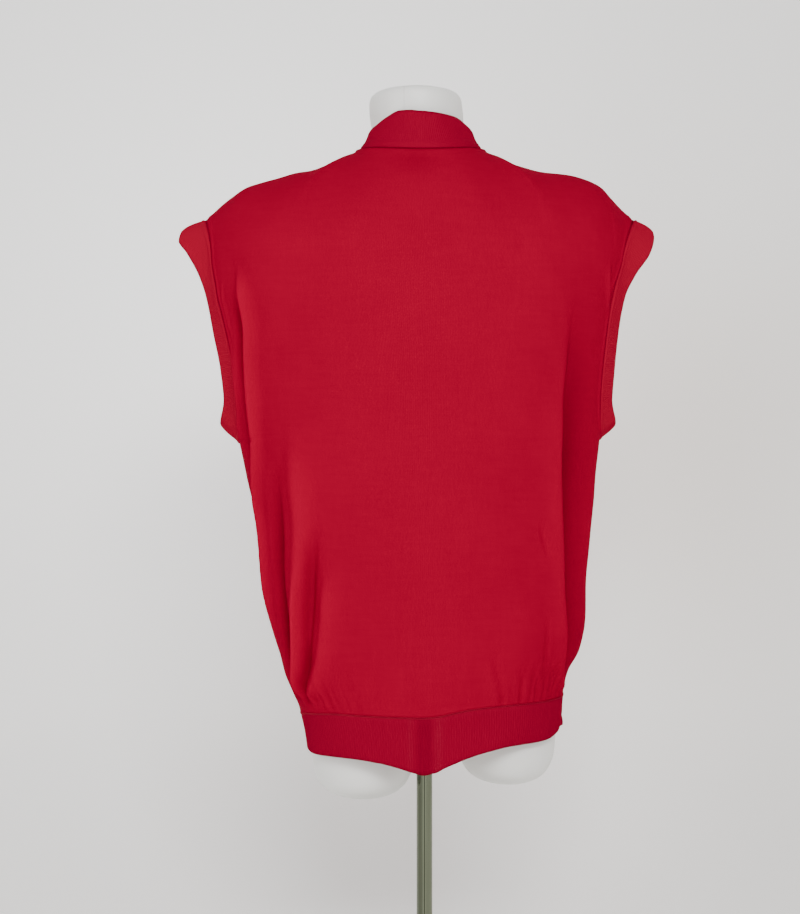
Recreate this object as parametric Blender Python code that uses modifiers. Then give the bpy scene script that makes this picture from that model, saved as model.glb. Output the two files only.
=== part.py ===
"""A knitted sweater vest on a limbless dress form that stands on a pole and a round base plate.

Run with: blender --background --python part.py
Metres, +Z up. The wearer's front faces -Y and the wearer's left is +X. The origin is the centre
of the base plate's underside. The vest is made of the pieces that a knitter would cut and sew:
two body panels, two hem ribs, two armhole bands and one neckband mitred at the centre front.
Each is an open lofted surface, the outer face of the cloth, that Solidify thickens inwards.
"""

import bmesh
import bpy
from collections import namedtuple
from math import acos, copysign, cos, degrees, exp, hypot, pi, radians, sin
from mathutils import Vector

PART_COLLECTION = "sweater_vest_on_dress_form"
CUTTER_COLLECTION = "cutters"

# Colours
JERSEY_RED = (0.45, 0.006, 0.026)
RIB_RED = (0.38, 0.007, 0.023)
FORM_WHITE = (0.62, 0.62, 0.60)
POLE_GREY = (0.30, 0.31, 0.25)
STEEL_GREY = (0.35, 0.35, 0.34)

# Cloth
JERSEY_THICKNESS = 0.0018
RIB_THICKNESS = 0.0026
SEAM_GAP = 0.0003
SECTION_POWER = 2 / 2.4            # the sections are rounded a little squarer than an ellipse
RIB_STEPS = (0.0, 0.05, 0.35, 0.7, 1.0)    # rows of faces across a band, the first a lip

# Heights on the vest
SEAM_LEVEL = 0.413                 # mean height of the seam between a panel and its hem rib
UNDERARM_LEVEL = 0.7165
YOKE_LEVEL = 0.930                 # above this a panel curves over the shoulder
FRONT_DIP = 0.150                  # how far the front's courses dip towards the point of the V

# Neckline
COLLAR_CENTRE = 0.0045             # the vest hangs a little towards the wearer's left
NECK_HALF_WIDTH = 0.0735
NECK_POINT_Z = 1.0580
BACK_NECK_DEPTH = 0.080
BACK_NECK_Z = 1.0454
V_POINT_DEPTH = 0.1250
V_POINT_Z = 0.870
V_CROWDING = 1.6                   # its points lie closer together towards the neck point
V_RETURN = (2.2, 0.6)              # how the chest's curve takes the V back to the shoulder
V_RISE = 1.05
NECK_SHARE = 0.34                  # share of half a panel's top edge that is neckline
LIP_SHARE = 0.985                  # a last narrow strip keeps each seam's edge square
MITRE_SHARE = 0.316                # how far up the V the two mitred ends reach
MITRE_START = 0.004                # the mitred ends start just above the point of the V
MITRE_FADE = 0.34                  # above this the neckband's columns are square to its seam

# How finely the cloth is divided: columns over half a panel, courses up it
NECK_COLUMNS = {"back": 5, "front": 7}
SHOULDER_COLUMNS = 11
LOWER_COURSES = 7
LOWER_CROWDING = 1.3               # the lower courses lie closer together towards the hem rib
YOKE_REACH = 1.15                  # how far a wale keeps its direction on its way over the shoulder
SMALL_STEP = 0.01                  # between two points that give a direction
YOKE_COURSES = (0.17, 0.34, 0.5, 0.66, 0.82, LIP_SHARE, 1.0)

# Stand and form
BASE_RADIUS = 0.180
BASE_THICKNESS = 0.008
BASE_EDGE = 0.003
HUB_RADIUS = 0.024
HUB_NECK = 0.017
HUB_HEIGHT = 0.030
HUB_FLANGE = 0.005
HUB_BEVEL = 0.002
POLE_RADIUS = 0.0094
POLE_SOCKET_TOP = 0.440            # the pole ends inside a bore in the form
POLE_INSERTION = 0.036
BORE_MARGIN = 0.04                 # how far the tool for the bore stands out below the form
FORM_SIDES = 36
FORM_FLOOR = 0.392                 # underside of the hips, between the two thigh stumps


class Rows:
    """A short table with named columns, read between its rows along a smooth curve."""

    def __init__(self, columns, *rows):
        self.columns = columns.split()
        self.rows = rows

    def read(self, key, column):
        """The value of a column where the first column, which rises down the table, is key."""
        keys = [row[0] for row in self.rows]
        values = [row[self.columns.index(column)] for row in self.rows]
        if key <= keys[0]:
            return values[0]
        if key >= keys[-1]:
            return values[-1]
        place = max(k for k in range(len(keys) - 1) if keys[k] <= key)
        step = keys[place + 1] - keys[place]
        rise = values[place + 1] - values[place]
        start = self.slope(keys, values, place) * step
        end = self.slope(keys, values, place + 1) * step
        t = (key - keys[place]) / step
        cubic = start + end - 2 * rise
        return values[place] + t * (start + t * (3 * rise - 2 * start - end + t * cubic))

    @staticmethod
    def slope(keys, values, place):
        """A slope at one row that never lets the curve swing past its rows."""
        if place in (0, len(keys) - 1):
            return 0.0
        before = (values[place] - values[place - 1]) / (keys[place] - keys[place - 1])
        after = (values[place + 1] - values[place]) / (keys[place + 1] - keys[place])
        if before * after <= 0:
            return 0.0
        return 2 * before * after / (before + after)


# Outer outline of the knitted tube: reach to the wearer's left and right, and to back and front
BODY = Rows(
    "z left right back front",
    (0.345, 0.1365, 0.1535, 0.1030, 0.0985),
    (0.379, 0.1400, 0.1560, 0.1045, 0.1000),
    (0.402, 0.1450, 0.1600, 0.1060, 0.1015),
    (0.4212, 0.1515, 0.1615, 0.1085, 0.1045),
    (0.4494, 0.1645, 0.1675, 0.1120, 0.1090),
    (0.4776, 0.1710, 0.1790, 0.1135, 0.1115),
    (0.5059, 0.1765, 0.1845, 0.1140, 0.1125),
    (0.5624, 0.1865, 0.1875, 0.1140, 0.1140),
    (0.6188, 0.1940, 0.1920, 0.1150, 0.1160),
    (0.6753, 0.2085, 0.1975, 0.1170, 0.1190),
    (0.7165, 0.2160, 0.2030, 0.1190, 0.1215),
    (0.800, 0.2311, 0.2156, 0.1215, 0.1270),
    (0.8556, 0.2450, 0.2236, 0.1220, 0.1280),
    (0.890, 0.2526, 0.2295, 0.1210, 0.1260),
    (0.950, 0.2560, 0.2393, 0.1150, 0.1130),
)

# Courses of a panel beside the armhole: how far behind and before the side its edge lies
ARMHOLE = Rows(
    "z back front",
    (0.7165, 0.000, 0.000),
    (0.7190, 0.017, 0.018),
    (0.7260, 0.032, 0.034),
    (0.7400, 0.0415, 0.045),
    (0.7700, 0.0490, 0.056),
    (0.8100, 0.0535, 0.063),
    (0.8500, 0.0550, 0.065),
    (0.8900, 0.0530, 0.062),
    (0.9300, 0.0455, 0.052),
)

# Shoulder seam from the neck point to the shoulder tip
SHOULDER = Rows(
    "share left right z",
    (0.00, 0.0780, 0.0690, 1.0580),
    (0.10, 0.0955, 0.0880, 1.0465),
    (0.25, 0.1250, 0.1265, 1.0350),
    (0.45, 0.1620, 0.1735, 1.0275),
    (0.66, 0.1980, 0.2000, 1.0190),
    (0.80, 0.2240, 0.2165, 1.0045),
    (0.92, 0.2450, 0.2330, 0.9870),
    (1.00, 0.2560, 0.2440, 0.9776),
)

# Direction in which a panel's wales reach its top edge: inwards, onwards over the shoulder, up
BACK_ARRIVAL = Rows(
    "share inwards onwards up",
    (0.00, 0.00, 0.55, 0.83),
    (0.15, 0.10, 0.62, 0.72),
    (0.26, 0.28, 0.75, 0.50),
    (0.34, 0.40, 0.85, 0.22),
    (0.45, 0.30, 0.93, 0.08),
    (0.60, 0.15, 0.98, 0.00),
    (0.80, 0.05, 1.00, -0.03),
    (1.00, 0.00, 1.00, -0.05),
)
FRONT_ARRIVAL = Rows(
    "share inwards onwards up",
    (0.00, 0.00, 0.02, 1.00),
    (0.10, 0.02, 0.30, 0.95),
    (0.19, 0.10, 0.56, 0.82),
    (0.26, 0.26, 0.75, 0.56),
    (0.34, 0.40, 0.85, 0.22),
    (0.45, 0.30, 0.93, 0.08),
    (0.60, 0.15, 0.98, 0.00),
    (0.80, 0.05, 1.00, -0.03),
    (1.00, 0.00, 1.00, -0.05),
)

# Seam above the hem rib and the hem itself, by turn: 0 centre back, 90 wearer's left side
HEM = Rows(
    "turn seam hem",
    (-180, 0.4130, 0.3620),
    (-135, 0.4200, 0.3740),
    (-90, 0.4240, 0.3868),
    (-78, 0.4245, 0.3835),
    (-66, 0.4250, 0.3812),
    (-50, 0.4253, 0.3800),
    (-31, 0.4250, 0.3788),
    (-20, 0.4238, 0.3742),
    (-12, 0.4215, 0.3682),
    (-7, 0.4185, 0.3625),
    (-3, 0.4155, 0.3572),
    (0, 0.4136, 0.3515),
    (2.5, 0.4130, 0.3493),
    (6, 0.4131, 0.3518),
    (12, 0.4133, 0.3568),
    (20, 0.4136, 0.3612),
    (35, 0.4138, 0.3645),
    (60, 0.4092, 0.3625),
    (90, 0.4020, 0.3610),
    (135, 0.4080, 0.3610),
    (180, 0.4130, 0.3620),
)

# Free edge of an armhole band, by share of the way from the underarm to the shoulder tip
ARMHOLE_EDGE = Rows(
    "share z left right back front",
    (0.00, 0.7395, 0.2410, 0.2257, 0.0000, 0.0000),
    (0.10, 0.7460, 0.2385, 0.2230, 0.0140, 0.0150),
    (0.21, 0.7670, 0.2340, 0.2180, 0.0245, 0.0290),
    (0.34, 0.8000, 0.2370, 0.2200, 0.0290, 0.0360),
    (0.50, 0.8420, 0.2450, 0.2240, 0.0310, 0.0390),
    (0.67, 0.8850, 0.2535, 0.2320, 0.0310, 0.0380),
    (0.77, 0.9100, 0.2620, 0.2440, 0.0290, 0.0350),
    (0.87, 0.9360, 0.2765, 0.2620, 0.0220, 0.0260),
    (0.95, 0.9520, 0.2872, 0.2684, 0.0125, 0.0150),
    (1.00, 0.9605, 0.2858, 0.2698, 0.0000, 0.0000),
)

# How much an armhole band stands out from its seam, and how its free edge drops
ARMHOLE_FLARE = Rows(
    "share out drop",
    (0.00, 1.20, -0.60),
    (0.08, 0.60, -0.20),
    (0.20, 0.00, 0.00),
    (0.75, 0.00, 0.00),
    (0.90, 0.40, 0.30),
    (1.00, 0.90, 0.90),
)

FLARE_LIFT = 0.35                  # how much of a flare goes upwards

# Neckband by share of the half loop from the point of the V to the centre back: its width
# on each side, how far it curves in between its edges, and the direction that its outer face
# looks in, sideways, to the back and up
NECKBAND = Rows(
    "share left right hollow side back up",
    (0.00, 0.0360, 0.0360, 0.0000, 0.00, -1.00, -0.02),
    (0.13, 0.0360, 0.0360, 0.0000, 0.09, -0.98, 0.15),
    (0.21, 0.0360, 0.0360, 0.0000, 0.15, -0.94, 0.26),
    (0.30, 0.0350, 0.0350, 0.0000, 0.25, -0.87, 0.38),
    (0.39, 0.0330, 0.0340, 0.0004, 0.37, -0.77, 0.48),
    (0.50, 0.0290, 0.0290, 0.0010, 0.62, -0.52, 0.52),
    (0.68, 0.0255, 0.0250, 0.0018, 0.87, -0.05, 0.48),
    (0.76, 0.0296, 0.0302, 0.0018, 0.79, 0.37, 0.44),
    (0.82, 0.0392, 0.0392, 0.0014, 0.64, 0.66, 0.38),
    (0.88, 0.0478, 0.0432, 0.0012, 0.47, 0.80, 0.33),
    (0.94, 0.0483, 0.0457, 0.0010, 0.24, 0.92, 0.28),
    (1.00, 0.0470, 0.0470, 0.0008, 0.00, 0.96, 0.26),
)
NECK_POINT_SHARE = 0.68

# Largest folds. They run down the cloth between two heights, at a turn away from their panel's
# middle (plus is the wearer's left), with half widths in degrees towards the middle and the side
Fold = namedtuple("Fold", "facing top bottom turn_top turn_middle turn_bottom inner outer height")
FOLDS = (
    Fold("back", 0.90, 0.600, 55, 66, 75, 5, 5, 0.0040),
    Fold("back", 0.86, 0.620, 63, 75, 84, 5, 4, -0.0040),
    Fold("back", 0.69, 0.470, 53, 65, 77, 6, 6, -0.0060),
    Fold("back", 0.76, 0.418, 43, 50, 60, 9, 6, 0.0045),
    Fold("back", 0.60, 0.418, 31, 36, 43, 6, 6, 0.0025),
    Fold("back", 0.88, 0.440, -47, -50, -66, 3, 12, -0.0150),
    Fold("back", 0.80, 0.450, -72, -76, -82, 7, 8, 0.0045),
    Fold("front", 0.84, 0.416, -56, -60, -68, 6, 8, -0.0090),
    Fold("front", 0.70, 0.440, -74, -77, -80, 6, 6, 0.0050),
    Fold("front", 0.80, 0.420, 58, 56, 63, 8, 6, -0.0080),
    Fold("front", 0.66, 0.420, 38, 42, 50, 8, 8, 0.0040),
    Fold("front", 0.60, 0.418, -30, -26, -24, 7, 7, -0.0035),
)

# Dress form: reach to the wearer's left and right, and to back and front
FORM = Rows(
    "z left right back front",
    (0.3920, 0.1200, 0.1380, 0.0760, 0.0720),
    (0.3990, 0.1370, 0.1530, 0.0920, 0.0880),
    (0.4150, 0.1425, 0.1565, 0.0985, 0.0950),
    (0.4500, 0.1450, 0.1570, 0.1005, 0.0970),
    (0.5000, 0.1440, 0.1520, 0.0975, 0.0965),
    (0.5500, 0.1430, 0.1450, 0.0930, 0.0960),
    (0.6000, 0.1460, 0.1430, 0.0910, 0.0980),
    (0.6500, 0.1540, 0.1470, 0.0940, 0.1020),
    (0.7000, 0.1640, 0.1530, 0.0990, 0.1080),
    (0.7600, 0.1760, 0.1610, 0.1060, 0.1140),
    (0.8200, 0.1860, 0.1700, 0.1100, 0.1170),
    (0.8800, 0.1970, 0.1820, 0.1100, 0.1130),
    (0.9200, 0.2080, 0.1940, 0.1060, 0.1040),
    (0.9500, 0.2150, 0.2010, 0.1010, 0.0950),
    (0.9750, 0.2165, 0.2030, 0.0950, 0.0850),
    (0.9920, 0.2130, 0.2000, 0.0890, 0.0760),
    (1.0050, 0.2040, 0.1930, 0.0820, 0.0690),
    (1.0140, 0.1900, 0.1820, 0.0750, 0.0630),
    (1.0212, 0.1620, 0.1570, 0.0690, 0.0580),
    (1.0290, 0.1290, 0.1230, 0.0630, 0.0530),
    (1.0370, 0.1030, 0.0920, 0.0590, 0.0490),
    (1.0472, 0.0800, 0.0680, 0.0565, 0.0475),
    (1.0600, 0.0660, 0.0540, 0.0550, 0.0485),
    (1.0700, 0.0625, 0.0490, 0.0550, 0.0500),
    (1.0850, 0.0622, 0.0460, 0.0550, 0.0520),
    (1.1000, 0.0645, 0.0455, 0.0560, 0.0530),
    (1.1140, 0.0650, 0.0440, 0.0560, 0.0545),
    (1.1200, 0.0635, 0.0425, 0.0545, 0.0530),
    (1.1240, 0.0590, 0.0385, 0.0505, 0.0490),
    (1.1262, 0.0500, 0.0300, 0.0420, 0.0410),
)

# Thigh stumps under the hips
Stump = namedtuple("Stump", "name middle half_width half_depth lowest")
STUMPS = (
    Stump("left", 0.0718, 0.0600, 0.0720, 0.2996),
    Stump("right", -0.0957, 0.0575, 0.0720, 0.3180),
)
STUMP_HALF_HEIGHT = 0.064
STUMP_POWER = 2 / 2.5              # their profile is a little squarer than an ellipse


def material(name, colour, roughness, metallic=0.0):
    """A Principled material with one colour."""
    made = bpy.data.materials.new(name)
    made.use_nodes = True
    shader = made.node_tree.nodes["Principled BSDF"]
    shader.inputs["Base Color"].default_value = (*colour, 1.0)
    shader.inputs["Roughness"].default_value = roughness
    shader.inputs["Metallic"].default_value = metallic
    return made


def put(thing, collection, surface=None):
    """Move an object into a collection and give it its material."""
    for old in list(thing.users_collection):
        old.objects.unlink(thing)
    collection.objects.link(thing)
    if surface is not None:
        thing.data.materials.clear()
        thing.data.materials.append(surface)
    return thing


def blend(start, end, share):
    return start + (end - start) * share


def curved_power(value, power):
    """A sine or cosine raised to a power, with its sign kept."""
    return copysign(abs(value) ** power, value)


def hermite(start, end, leaving, arriving, t):
    """A point on the curve between two points that has the given end tangents."""
    return (
        start * (2 * t**3 - 3 * t**2 + 1)
        + leaving * (t**3 - 2 * t**2 + t)
        + end * (3 * t**2 - 2 * t**3)
        + arriving * (t**3 - t**2)
    )


# The knitted tube


def fold_rise(facing, z, turn):
    """How far the folds lift the cloth off its plain form at a point."""
    total = 0.0
    for fold in FOLDS:
        if fold.facing != facing or not fold.bottom < z < fold.top:
            continue
        t = (fold.top - z) / (fold.top - fold.bottom)
        start = blend(fold.turn_top, fold.turn_middle, 2 * t)
        end = blend(fold.turn_middle, fold.turn_bottom, 2 * t - 1)
        away = turn - blend(start, end, t)
        if fold.turn_middle < 0:
            away = -away
        width = fold.outer if away > 0 else fold.inner
        total += fold.height * (1 - (2 * t - 1) ** 4) * exp(-((away / width) ** 2))
    return total


def outward_way(facing):
    """+1 for the back, -1 for the front: which way along Y a panel looks."""
    return 1 if facing == "back" else -1


def tube_point(facing, z, turn):
    """A point of the tube's outer face; turn is in degrees from the middle of a panel."""
    left, right = BODY.read(z, "left"), BODY.read(z, "right")
    depth = BODY.read(z, facing)
    middle, half = (left - right) / 2, (left + right) / 2
    across = curved_power(sin(radians(turn)), SECTION_POWER)
    along = abs(cos(radians(turn))) ** SECTION_POWER
    way = outward_way(facing)
    outwards = Vector((across / half, way * along / depth, 0)).normalized()
    plain = Vector((middle + half * across, way * depth * along, z))
    return plain + outwards * fold_rise(facing, z, turn)


def edge_turn(facing, level):
    """Turn at a panel's edge: the side seam, and above the underarm the armhole."""
    if level <= UNDERARM_LEVEL:
        return 90.0
    share = ARMHOLE.read(level, facing) / BODY.read(level, facing)
    return degrees(acos(share ** (1 / SECTION_POWER)))


def full_turn(facing, turn):
    """A turn from the middle of a panel as a turn from the centre back."""
    if facing == "back":
        return turn
    return copysign(180 - abs(turn), turn)


def course_point(facing, level, u):
    """A point below the yoke, on the course at a level, from right edge -1 to left edge 1."""
    turn = 90 * u - (90 - edge_turn(facing, level)) * u**3
    rise = (level - SEAM_LEVEL) / (YOKE_LEVEL - SEAM_LEVEL)
    z = level + (HEM.read(full_turn(facing, turn), "seam") - SEAM_LEVEL) * (1 - rise) ** 2
    if facing == "front":
        z -= FRONT_DIP * rise**2 * (1 - u * u) ** 2
    return tube_point(facing, z, turn)


def neckline_point(facing, share, side):
    """A point of the neckline, from the centre at 0 to the neck point at 1."""
    if facing == "back":
        angle = share * pi / 2
        across = NECK_HALF_WIDTH * sin(angle)
        y = BACK_NECK_DEPTH * cos(angle)
        z = blend(BACK_NECK_Z, NECK_POINT_Z, sin(angle) ** 2)
    else:
        up = 1 - (1 - share) ** V_CROWDING
        across = NECK_HALF_WIDTH * up
        y = -V_POINT_DEPTH * max(0.0, 1 - up ** V_RETURN[0]) ** V_RETURN[1]
        z = blend(V_POINT_Z, NECK_POINT_Z, up**V_RISE)
    return Vector((COLLAR_CENTRE + side * across, y, z))


def shoulder_point(share, side):
    """A point of the shoulder seam, from the neck point at 0 to the shoulder tip at 1."""
    reach = SHOULDER.read(share, "left" if side > 0 else "right")
    return Vector((side * reach, 0, SHOULDER.read(share, "z")))


def top_point(facing, u):
    """A point of a panel's top edge: its neckline, then its shoulder seam."""
    side = 1 if u >= 0 else -1
    if abs(u) <= NECK_SHARE:
        return neckline_point(facing, abs(u) / NECK_SHARE, side)
    return shoulder_point((abs(u) - NECK_SHARE) / (1 - NECK_SHARE), side)


def yoke_point(facing, u, t):
    """A point above the yoke level, on the curve that goes over the shoulder."""
    start, end = course_point(facing, YOKE_LEVEL, u), top_point(facing, u)
    leaving = (start - course_point(facing, YOKE_LEVEL - SMALL_STEP, u)).normalized()
    arrival = BACK_ARRIVAL if facing == "back" else FRONT_ARRIVAL
    side = 1 if u >= 0 else -1
    share = abs(u)
    arriving = Vector((
        -side * arrival.read(share, "inwards"),
        -outward_way(facing) * arrival.read(share, "onwards"),
        arrival.read(share, "up"),
    )).normalized()
    reach = (end - start).length * YOKE_REACH
    return hermite(start, end, leaving * reach, arriving * reach, t)


def panel_point(facing, u, v):
    """A point of a panel: v counts courses to the yoke, and runs from 0 to 1 above it."""
    point = course_point(facing, v, u) if v <= YOKE_LEVEL else yoke_point(facing, u, v - 1)
    return point + Vector((0, outward_way(facing) * SEAM_GAP / 2, 0))


def panel_columns(facing):
    """Columns across a panel: the neckline's, the shoulder's and a lip along each edge."""
    neck = [NECK_SHARE * k / NECK_COLUMNS[facing] for k in range(NECK_COLUMNS[facing])]
    steps = range(SHOULDER_COLUMNS + 1)
    shoulder = [blend(NECK_SHARE, LIP_SHARE, k / SHOULDER_COLUMNS) for k in steps]
    half = neck + shoulder + [1.0]
    return [-u for u in reversed(half[1:])] + half


def panel_courses():
    """Levels up a panel to the yoke, then 1 plus the share of the way over the shoulder."""
    shares = [(k / LOWER_COURSES) ** LOWER_CROWDING for k in range(LOWER_COURSES)]
    lower = [blend(SEAM_LEVEL, UNDERARM_LEVEL, share) for share in shares]
    lower.insert(1, blend(SEAM_LEVEL, lower[1], 0.2))
    return lower + armhole_courses()


def armhole_courses():
    """The courses beside the armhole and those over the shoulder."""
    return [row[0] for row in ARMHOLE.rows] + [1 + share for share in YOKE_COURSES]


# Meshes


def grid_object(name, rows, thickness, surface, collection, closed=False):
    """Loft rows of points into an open surface and thicken it inwards."""
    shape = bmesh.new()
    placed = [[shape.verts.new(point) for point in row] for row in rows]
    if closed:
        placed.append(placed[0])
    for low, high in zip(placed, placed[1:]):
        for a, b, c, d in zip(low, low[1:], high[1:], high):
            shape.faces.new((a, b, c, d))
    mesh = bpy.data.meshes.new(name)
    shape.to_mesh(mesh)
    shape.free()
    mesh.shade_smooth()
    made = put(bpy.data.objects.new(name, mesh), bpy.context.scene.collection)
    put(made, collection, surface)
    wall = made.modifiers.new("wall", "SOLIDIFY")
    wall.thickness = thickness
    wall.offset = -1
    return made


def body_panel(name, facing, surface, collection):
    """The back or the front, from the hem rib's seam to the shoulders and neck."""
    columns = panel_columns(facing)
    if facing == "back":
        columns.reverse()
    rows = [[panel_point(facing, u, v) for u in columns] for v in panel_courses()]
    return grid_object(name, rows, JERSEY_THICKNESS, surface, collection)


def hem_rib(name, facing, surface, collection):
    """Half of the rib below a panel, from its seam to the hem."""
    apart = Vector((0, outward_way(facing) * SEAM_GAP / 2, 0))
    turns = [90 * u for u in panel_columns(facing)]
    if facing == "back":
        turns.reverse()
    rows = []
    for share in (1.0, 0.5, 0.0):
        row = []
        for turn in turns:
            round_turn = full_turn(facing, turn)
            seam = HEM.read(round_turn, "seam") - SEAM_GAP
            z = blend(seam, HEM.read(round_turn, "hem"), share)
            row.append(tube_point(facing, z, turn) + apart)
        rows.append(row)
    return grid_object(name, rows, RIB_THICKNESS, surface, collection)


def armhole_seam(facing, side):
    """One panel's half of an armhole seam, with the direction in which the cloth leaves it."""
    levels = armhole_courses()
    points = [panel_point(facing, side, level) for level in levels]
    inner = [panel_point(facing, side * LIP_SHARE, level) for level in levels]
    half = []
    for k, (point, within) in enumerate(zip(points, inner)):
        along = (points[min(len(points) - 1, k + 1)] - points[max(0, k - 1)]).normalized()
        off = point - within
        half.append((point, (off - along * off.dot(along)).normalized()))
    for k, leaving in ((0, Vector((0, 0, 1))), (-1, half[-1][1])):
        meeting = half[k][0].copy()
        meeting.y = 0
        half[k] = (meeting, leaving)
    return half


def armhole_band_half(facing, side):
    """Rows of points across an armhole band, from the underarm to the shoulder tip."""
    seam = armhole_seam(facing, side)
    length = sum((after[0] - before[0]).length for before, after in zip(seam, seam[1:]))
    travelled = 0.0
    rows = []
    for k, (point, leaving) in enumerate(seam):
        if k:
            travelled += (point - seam[k - 1][0]).length
        share = travelled / length
        edge = Vector((
            side * ARMHOLE_EDGE.read(share, "left" if side > 0 else "right"),
            outward_way(facing) * ARMHOLE_EDGE.read(share, facing),
            ARMHOLE_EDGE.read(share, "z"),
        ))
        out = ARMHOLE_FLARE.read(share, "out")
        leaving = (leaving + Vector((side * out, 0, out * FLARE_LIFT))).normalized()
        drop = Vector((0, 0, ARMHOLE_FLARE.read(share, "drop")))
        arriving = ((edge - point).normalized() - drop).normalized()
        reach = (edge - point).length
        start = point + leaving * SEAM_GAP
        across = [hermite(start, edge, leaving * reach, arriving * reach, w) for w in RIB_STEPS]
        rows.append(across)
    return rows


def armhole_band(name, side, surface, collection):
    """A ribbed band sewn round an armhole; its free edge leans out over the arm's place."""
    loop = armhole_band_half("back", side)
    loop += list(reversed(armhole_band_half("front", side)))[1:-1]
    if side > 0:
        loop.reverse()
    return grid_object(name, loop, RIB_THICKNESS, surface, collection, closed=True)


def neck_seam_point(share, side):
    """A point of the neckline, from the point of the V at 0 to the centre back at 1."""
    if share <= NECK_POINT_SHARE:
        return neckline_point("front", share / NECK_POINT_SHARE, side)
    return neckline_point("back", (1 - share) / (1 - NECK_POINT_SHARE), side)


def neckband_point(share, across, side):
    """A point of the neckband's outer face; across is 0 at the seam and 1 at the free edge."""
    low, high = max(0.0, share - SMALL_STEP), min(1.0, share + SMALL_STEP)
    along = (neck_seam_point(high, side) - neck_seam_point(low, side)).normalized()
    looks = Vector((
        side * NECKBAND.read(share, "side"),
        NECKBAND.read(share, "back"),
        NECKBAND.read(share, "up"),
    ))
    rising = looks.cross(along).normalized() * side
    width = NECKBAND.read(share, "left" if side > 0 else "right")
    sag = looks.normalized() * NECKBAND.read(share, "hollow") * 4 * across * (1 - across)
    return neck_seam_point(share, side) + rising * blend(SEAM_GAP, width, across) - sag


def neckband_half(side):
    """Rows of points across half the neckband, from the point of the V to the centre back."""
    front, back = NECK_COLUMNS["front"], NECK_COLUMNS["back"]
    shares = [blend(0, NECK_POINT_SHARE, k / front) for k in range(front)]
    shares[0] = MITRE_START
    shares += [blend(NECK_POINT_SHARE, 1, k / back) for k in range(back + 1)]
    rows = []
    for share in shares:
        shift = MITRE_SHARE * NECK_POINT_SHARE * max(0.0, 1 - share / MITRE_FADE)
        rows.append([neckband_point(share + shift * w, w, side) for w in RIB_STEPS])
    for point in rows[0]:
        point.x = COLLAR_CENTRE + side * SEAM_GAP / 2
    return rows


def neckband(name, surface, collection):
    """One ribbed strip round the neck, standing at the back and mitred at the centre front."""
    strip = neckband_half(1) + list(reversed(neckband_half(-1)))[1:]
    return grid_object(name, strip, RIB_THICKNESS, surface, collection)


# Form and stand


def form_point(z, turn):
    """A point of the form's skin; turn goes all the way round from the back."""
    left, right = FORM.read(z, "left"), FORM.read(z, "right")
    middle, half = (left - right) / 2, (left + right) / 2
    facing = cos(radians(turn))
    depth = FORM.read(z, "back") if facing > 0 else FORM.read(z, "front")
    across = sin(radians(turn))
    return Vector((middle + half * across, depth * facing, z))


def stump_point(stump, sphere_point):
    """Point of a stump that belongs to a point of the unit sphere."""
    across, along, up = sphere_point
    level = hypot(across, along)
    fuller = level ** (STUMP_POWER - 1) if level > 0 else 0.0
    size = Vector((stump.half_width, stump.half_depth, STUMP_HALF_HEIGHT))
    place = Vector((stump.middle, 0, stump.lowest + STUMP_HALF_HEIGHT))
    return Vector((across * fuller, along * fuller, curved_power(up, STUMP_POWER))) * size + place


def form_body(surface, collection, cutters):
    """The torso, a loft between sections, joined to the thigh stumps and bored for the pole."""
    turns = [360 * k / FORM_SIDES for k in range(FORM_SIDES)]
    shape = bmesh.new()
    rings = [[shape.verts.new(form_point(row[0], turn)) for turn in turns] for row in FORM.rows]
    for low, high in zip(rings, rings[1:]):
        for k in range(FORM_SIDES):
            after = (k + 1) % FORM_SIDES
            shape.faces.new((low[after], low[k], high[k], high[after]))
    shape.faces.new(rings[0])
    shape.faces.new(list(reversed(rings[-1])))
    mesh = bpy.data.meshes.new("form_body")
    shape.to_mesh(mesh)
    shape.free()
    mesh.shade_smooth()
    body = put(bpy.data.objects.new("form_body", mesh), collection, surface)
    for stump in STUMPS:
        bpy.ops.mesh.primitive_uv_sphere_add(segments=24, ring_count=12, radius=1)
        ball = bpy.context.object
        ball.name = "stump_" + stump.name
        for vertex in ball.data.vertices:
            vertex.co = stump_point(stump, vertex.co)
        guide(ball, body, "UNION", cutters)
    foot = FORM_FLOOR - BORE_MARGIN
    bpy.ops.mesh.primitive_cylinder_add(
        vertices=24, radius=POLE_RADIUS + SEAM_GAP, depth=POLE_SOCKET_TOP - foot
    )
    bore = bpy.context.object
    bore.name = "pole_bore"
    for vertex in bore.data.vertices:
        vertex.co.z += (POLE_SOCKET_TOP + foot) / 2
    guide(bore, body, "DIFFERENCE", cutters)
    return body


def guide(tool, target, operation, cutters):
    """Use a hidden object in a Boolean on another."""
    put(tool, cutters)
    tool.hide_render = True
    tool.display_type = "WIRE"
    step = target.modifiers.new(tool.name, "BOOLEAN")
    step.operation = operation
    step.object = tool
    step.solver = "EXACT"


def turned(name, profile, surface, collection, steps=48):
    """Turn a profile of (radius, height) points about the vertical axis."""
    mesh = bpy.data.meshes.new(name)
    edges = [(k, k + 1) for k in range(len(profile) - 1)]
    mesh.from_pydata([(radius, 0, z) for radius, z in profile], edges, [])
    made = put(bpy.data.objects.new(name, mesh), collection, surface)
    turn = made.modifiers.new("turn", "SCREW")
    turn.steps = steps
    turn.render_steps = steps
    turn.use_merge_vertices = True
    turn.merge_threshold = 0.0001
    turn.use_smooth_shade = True
    return made


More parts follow.
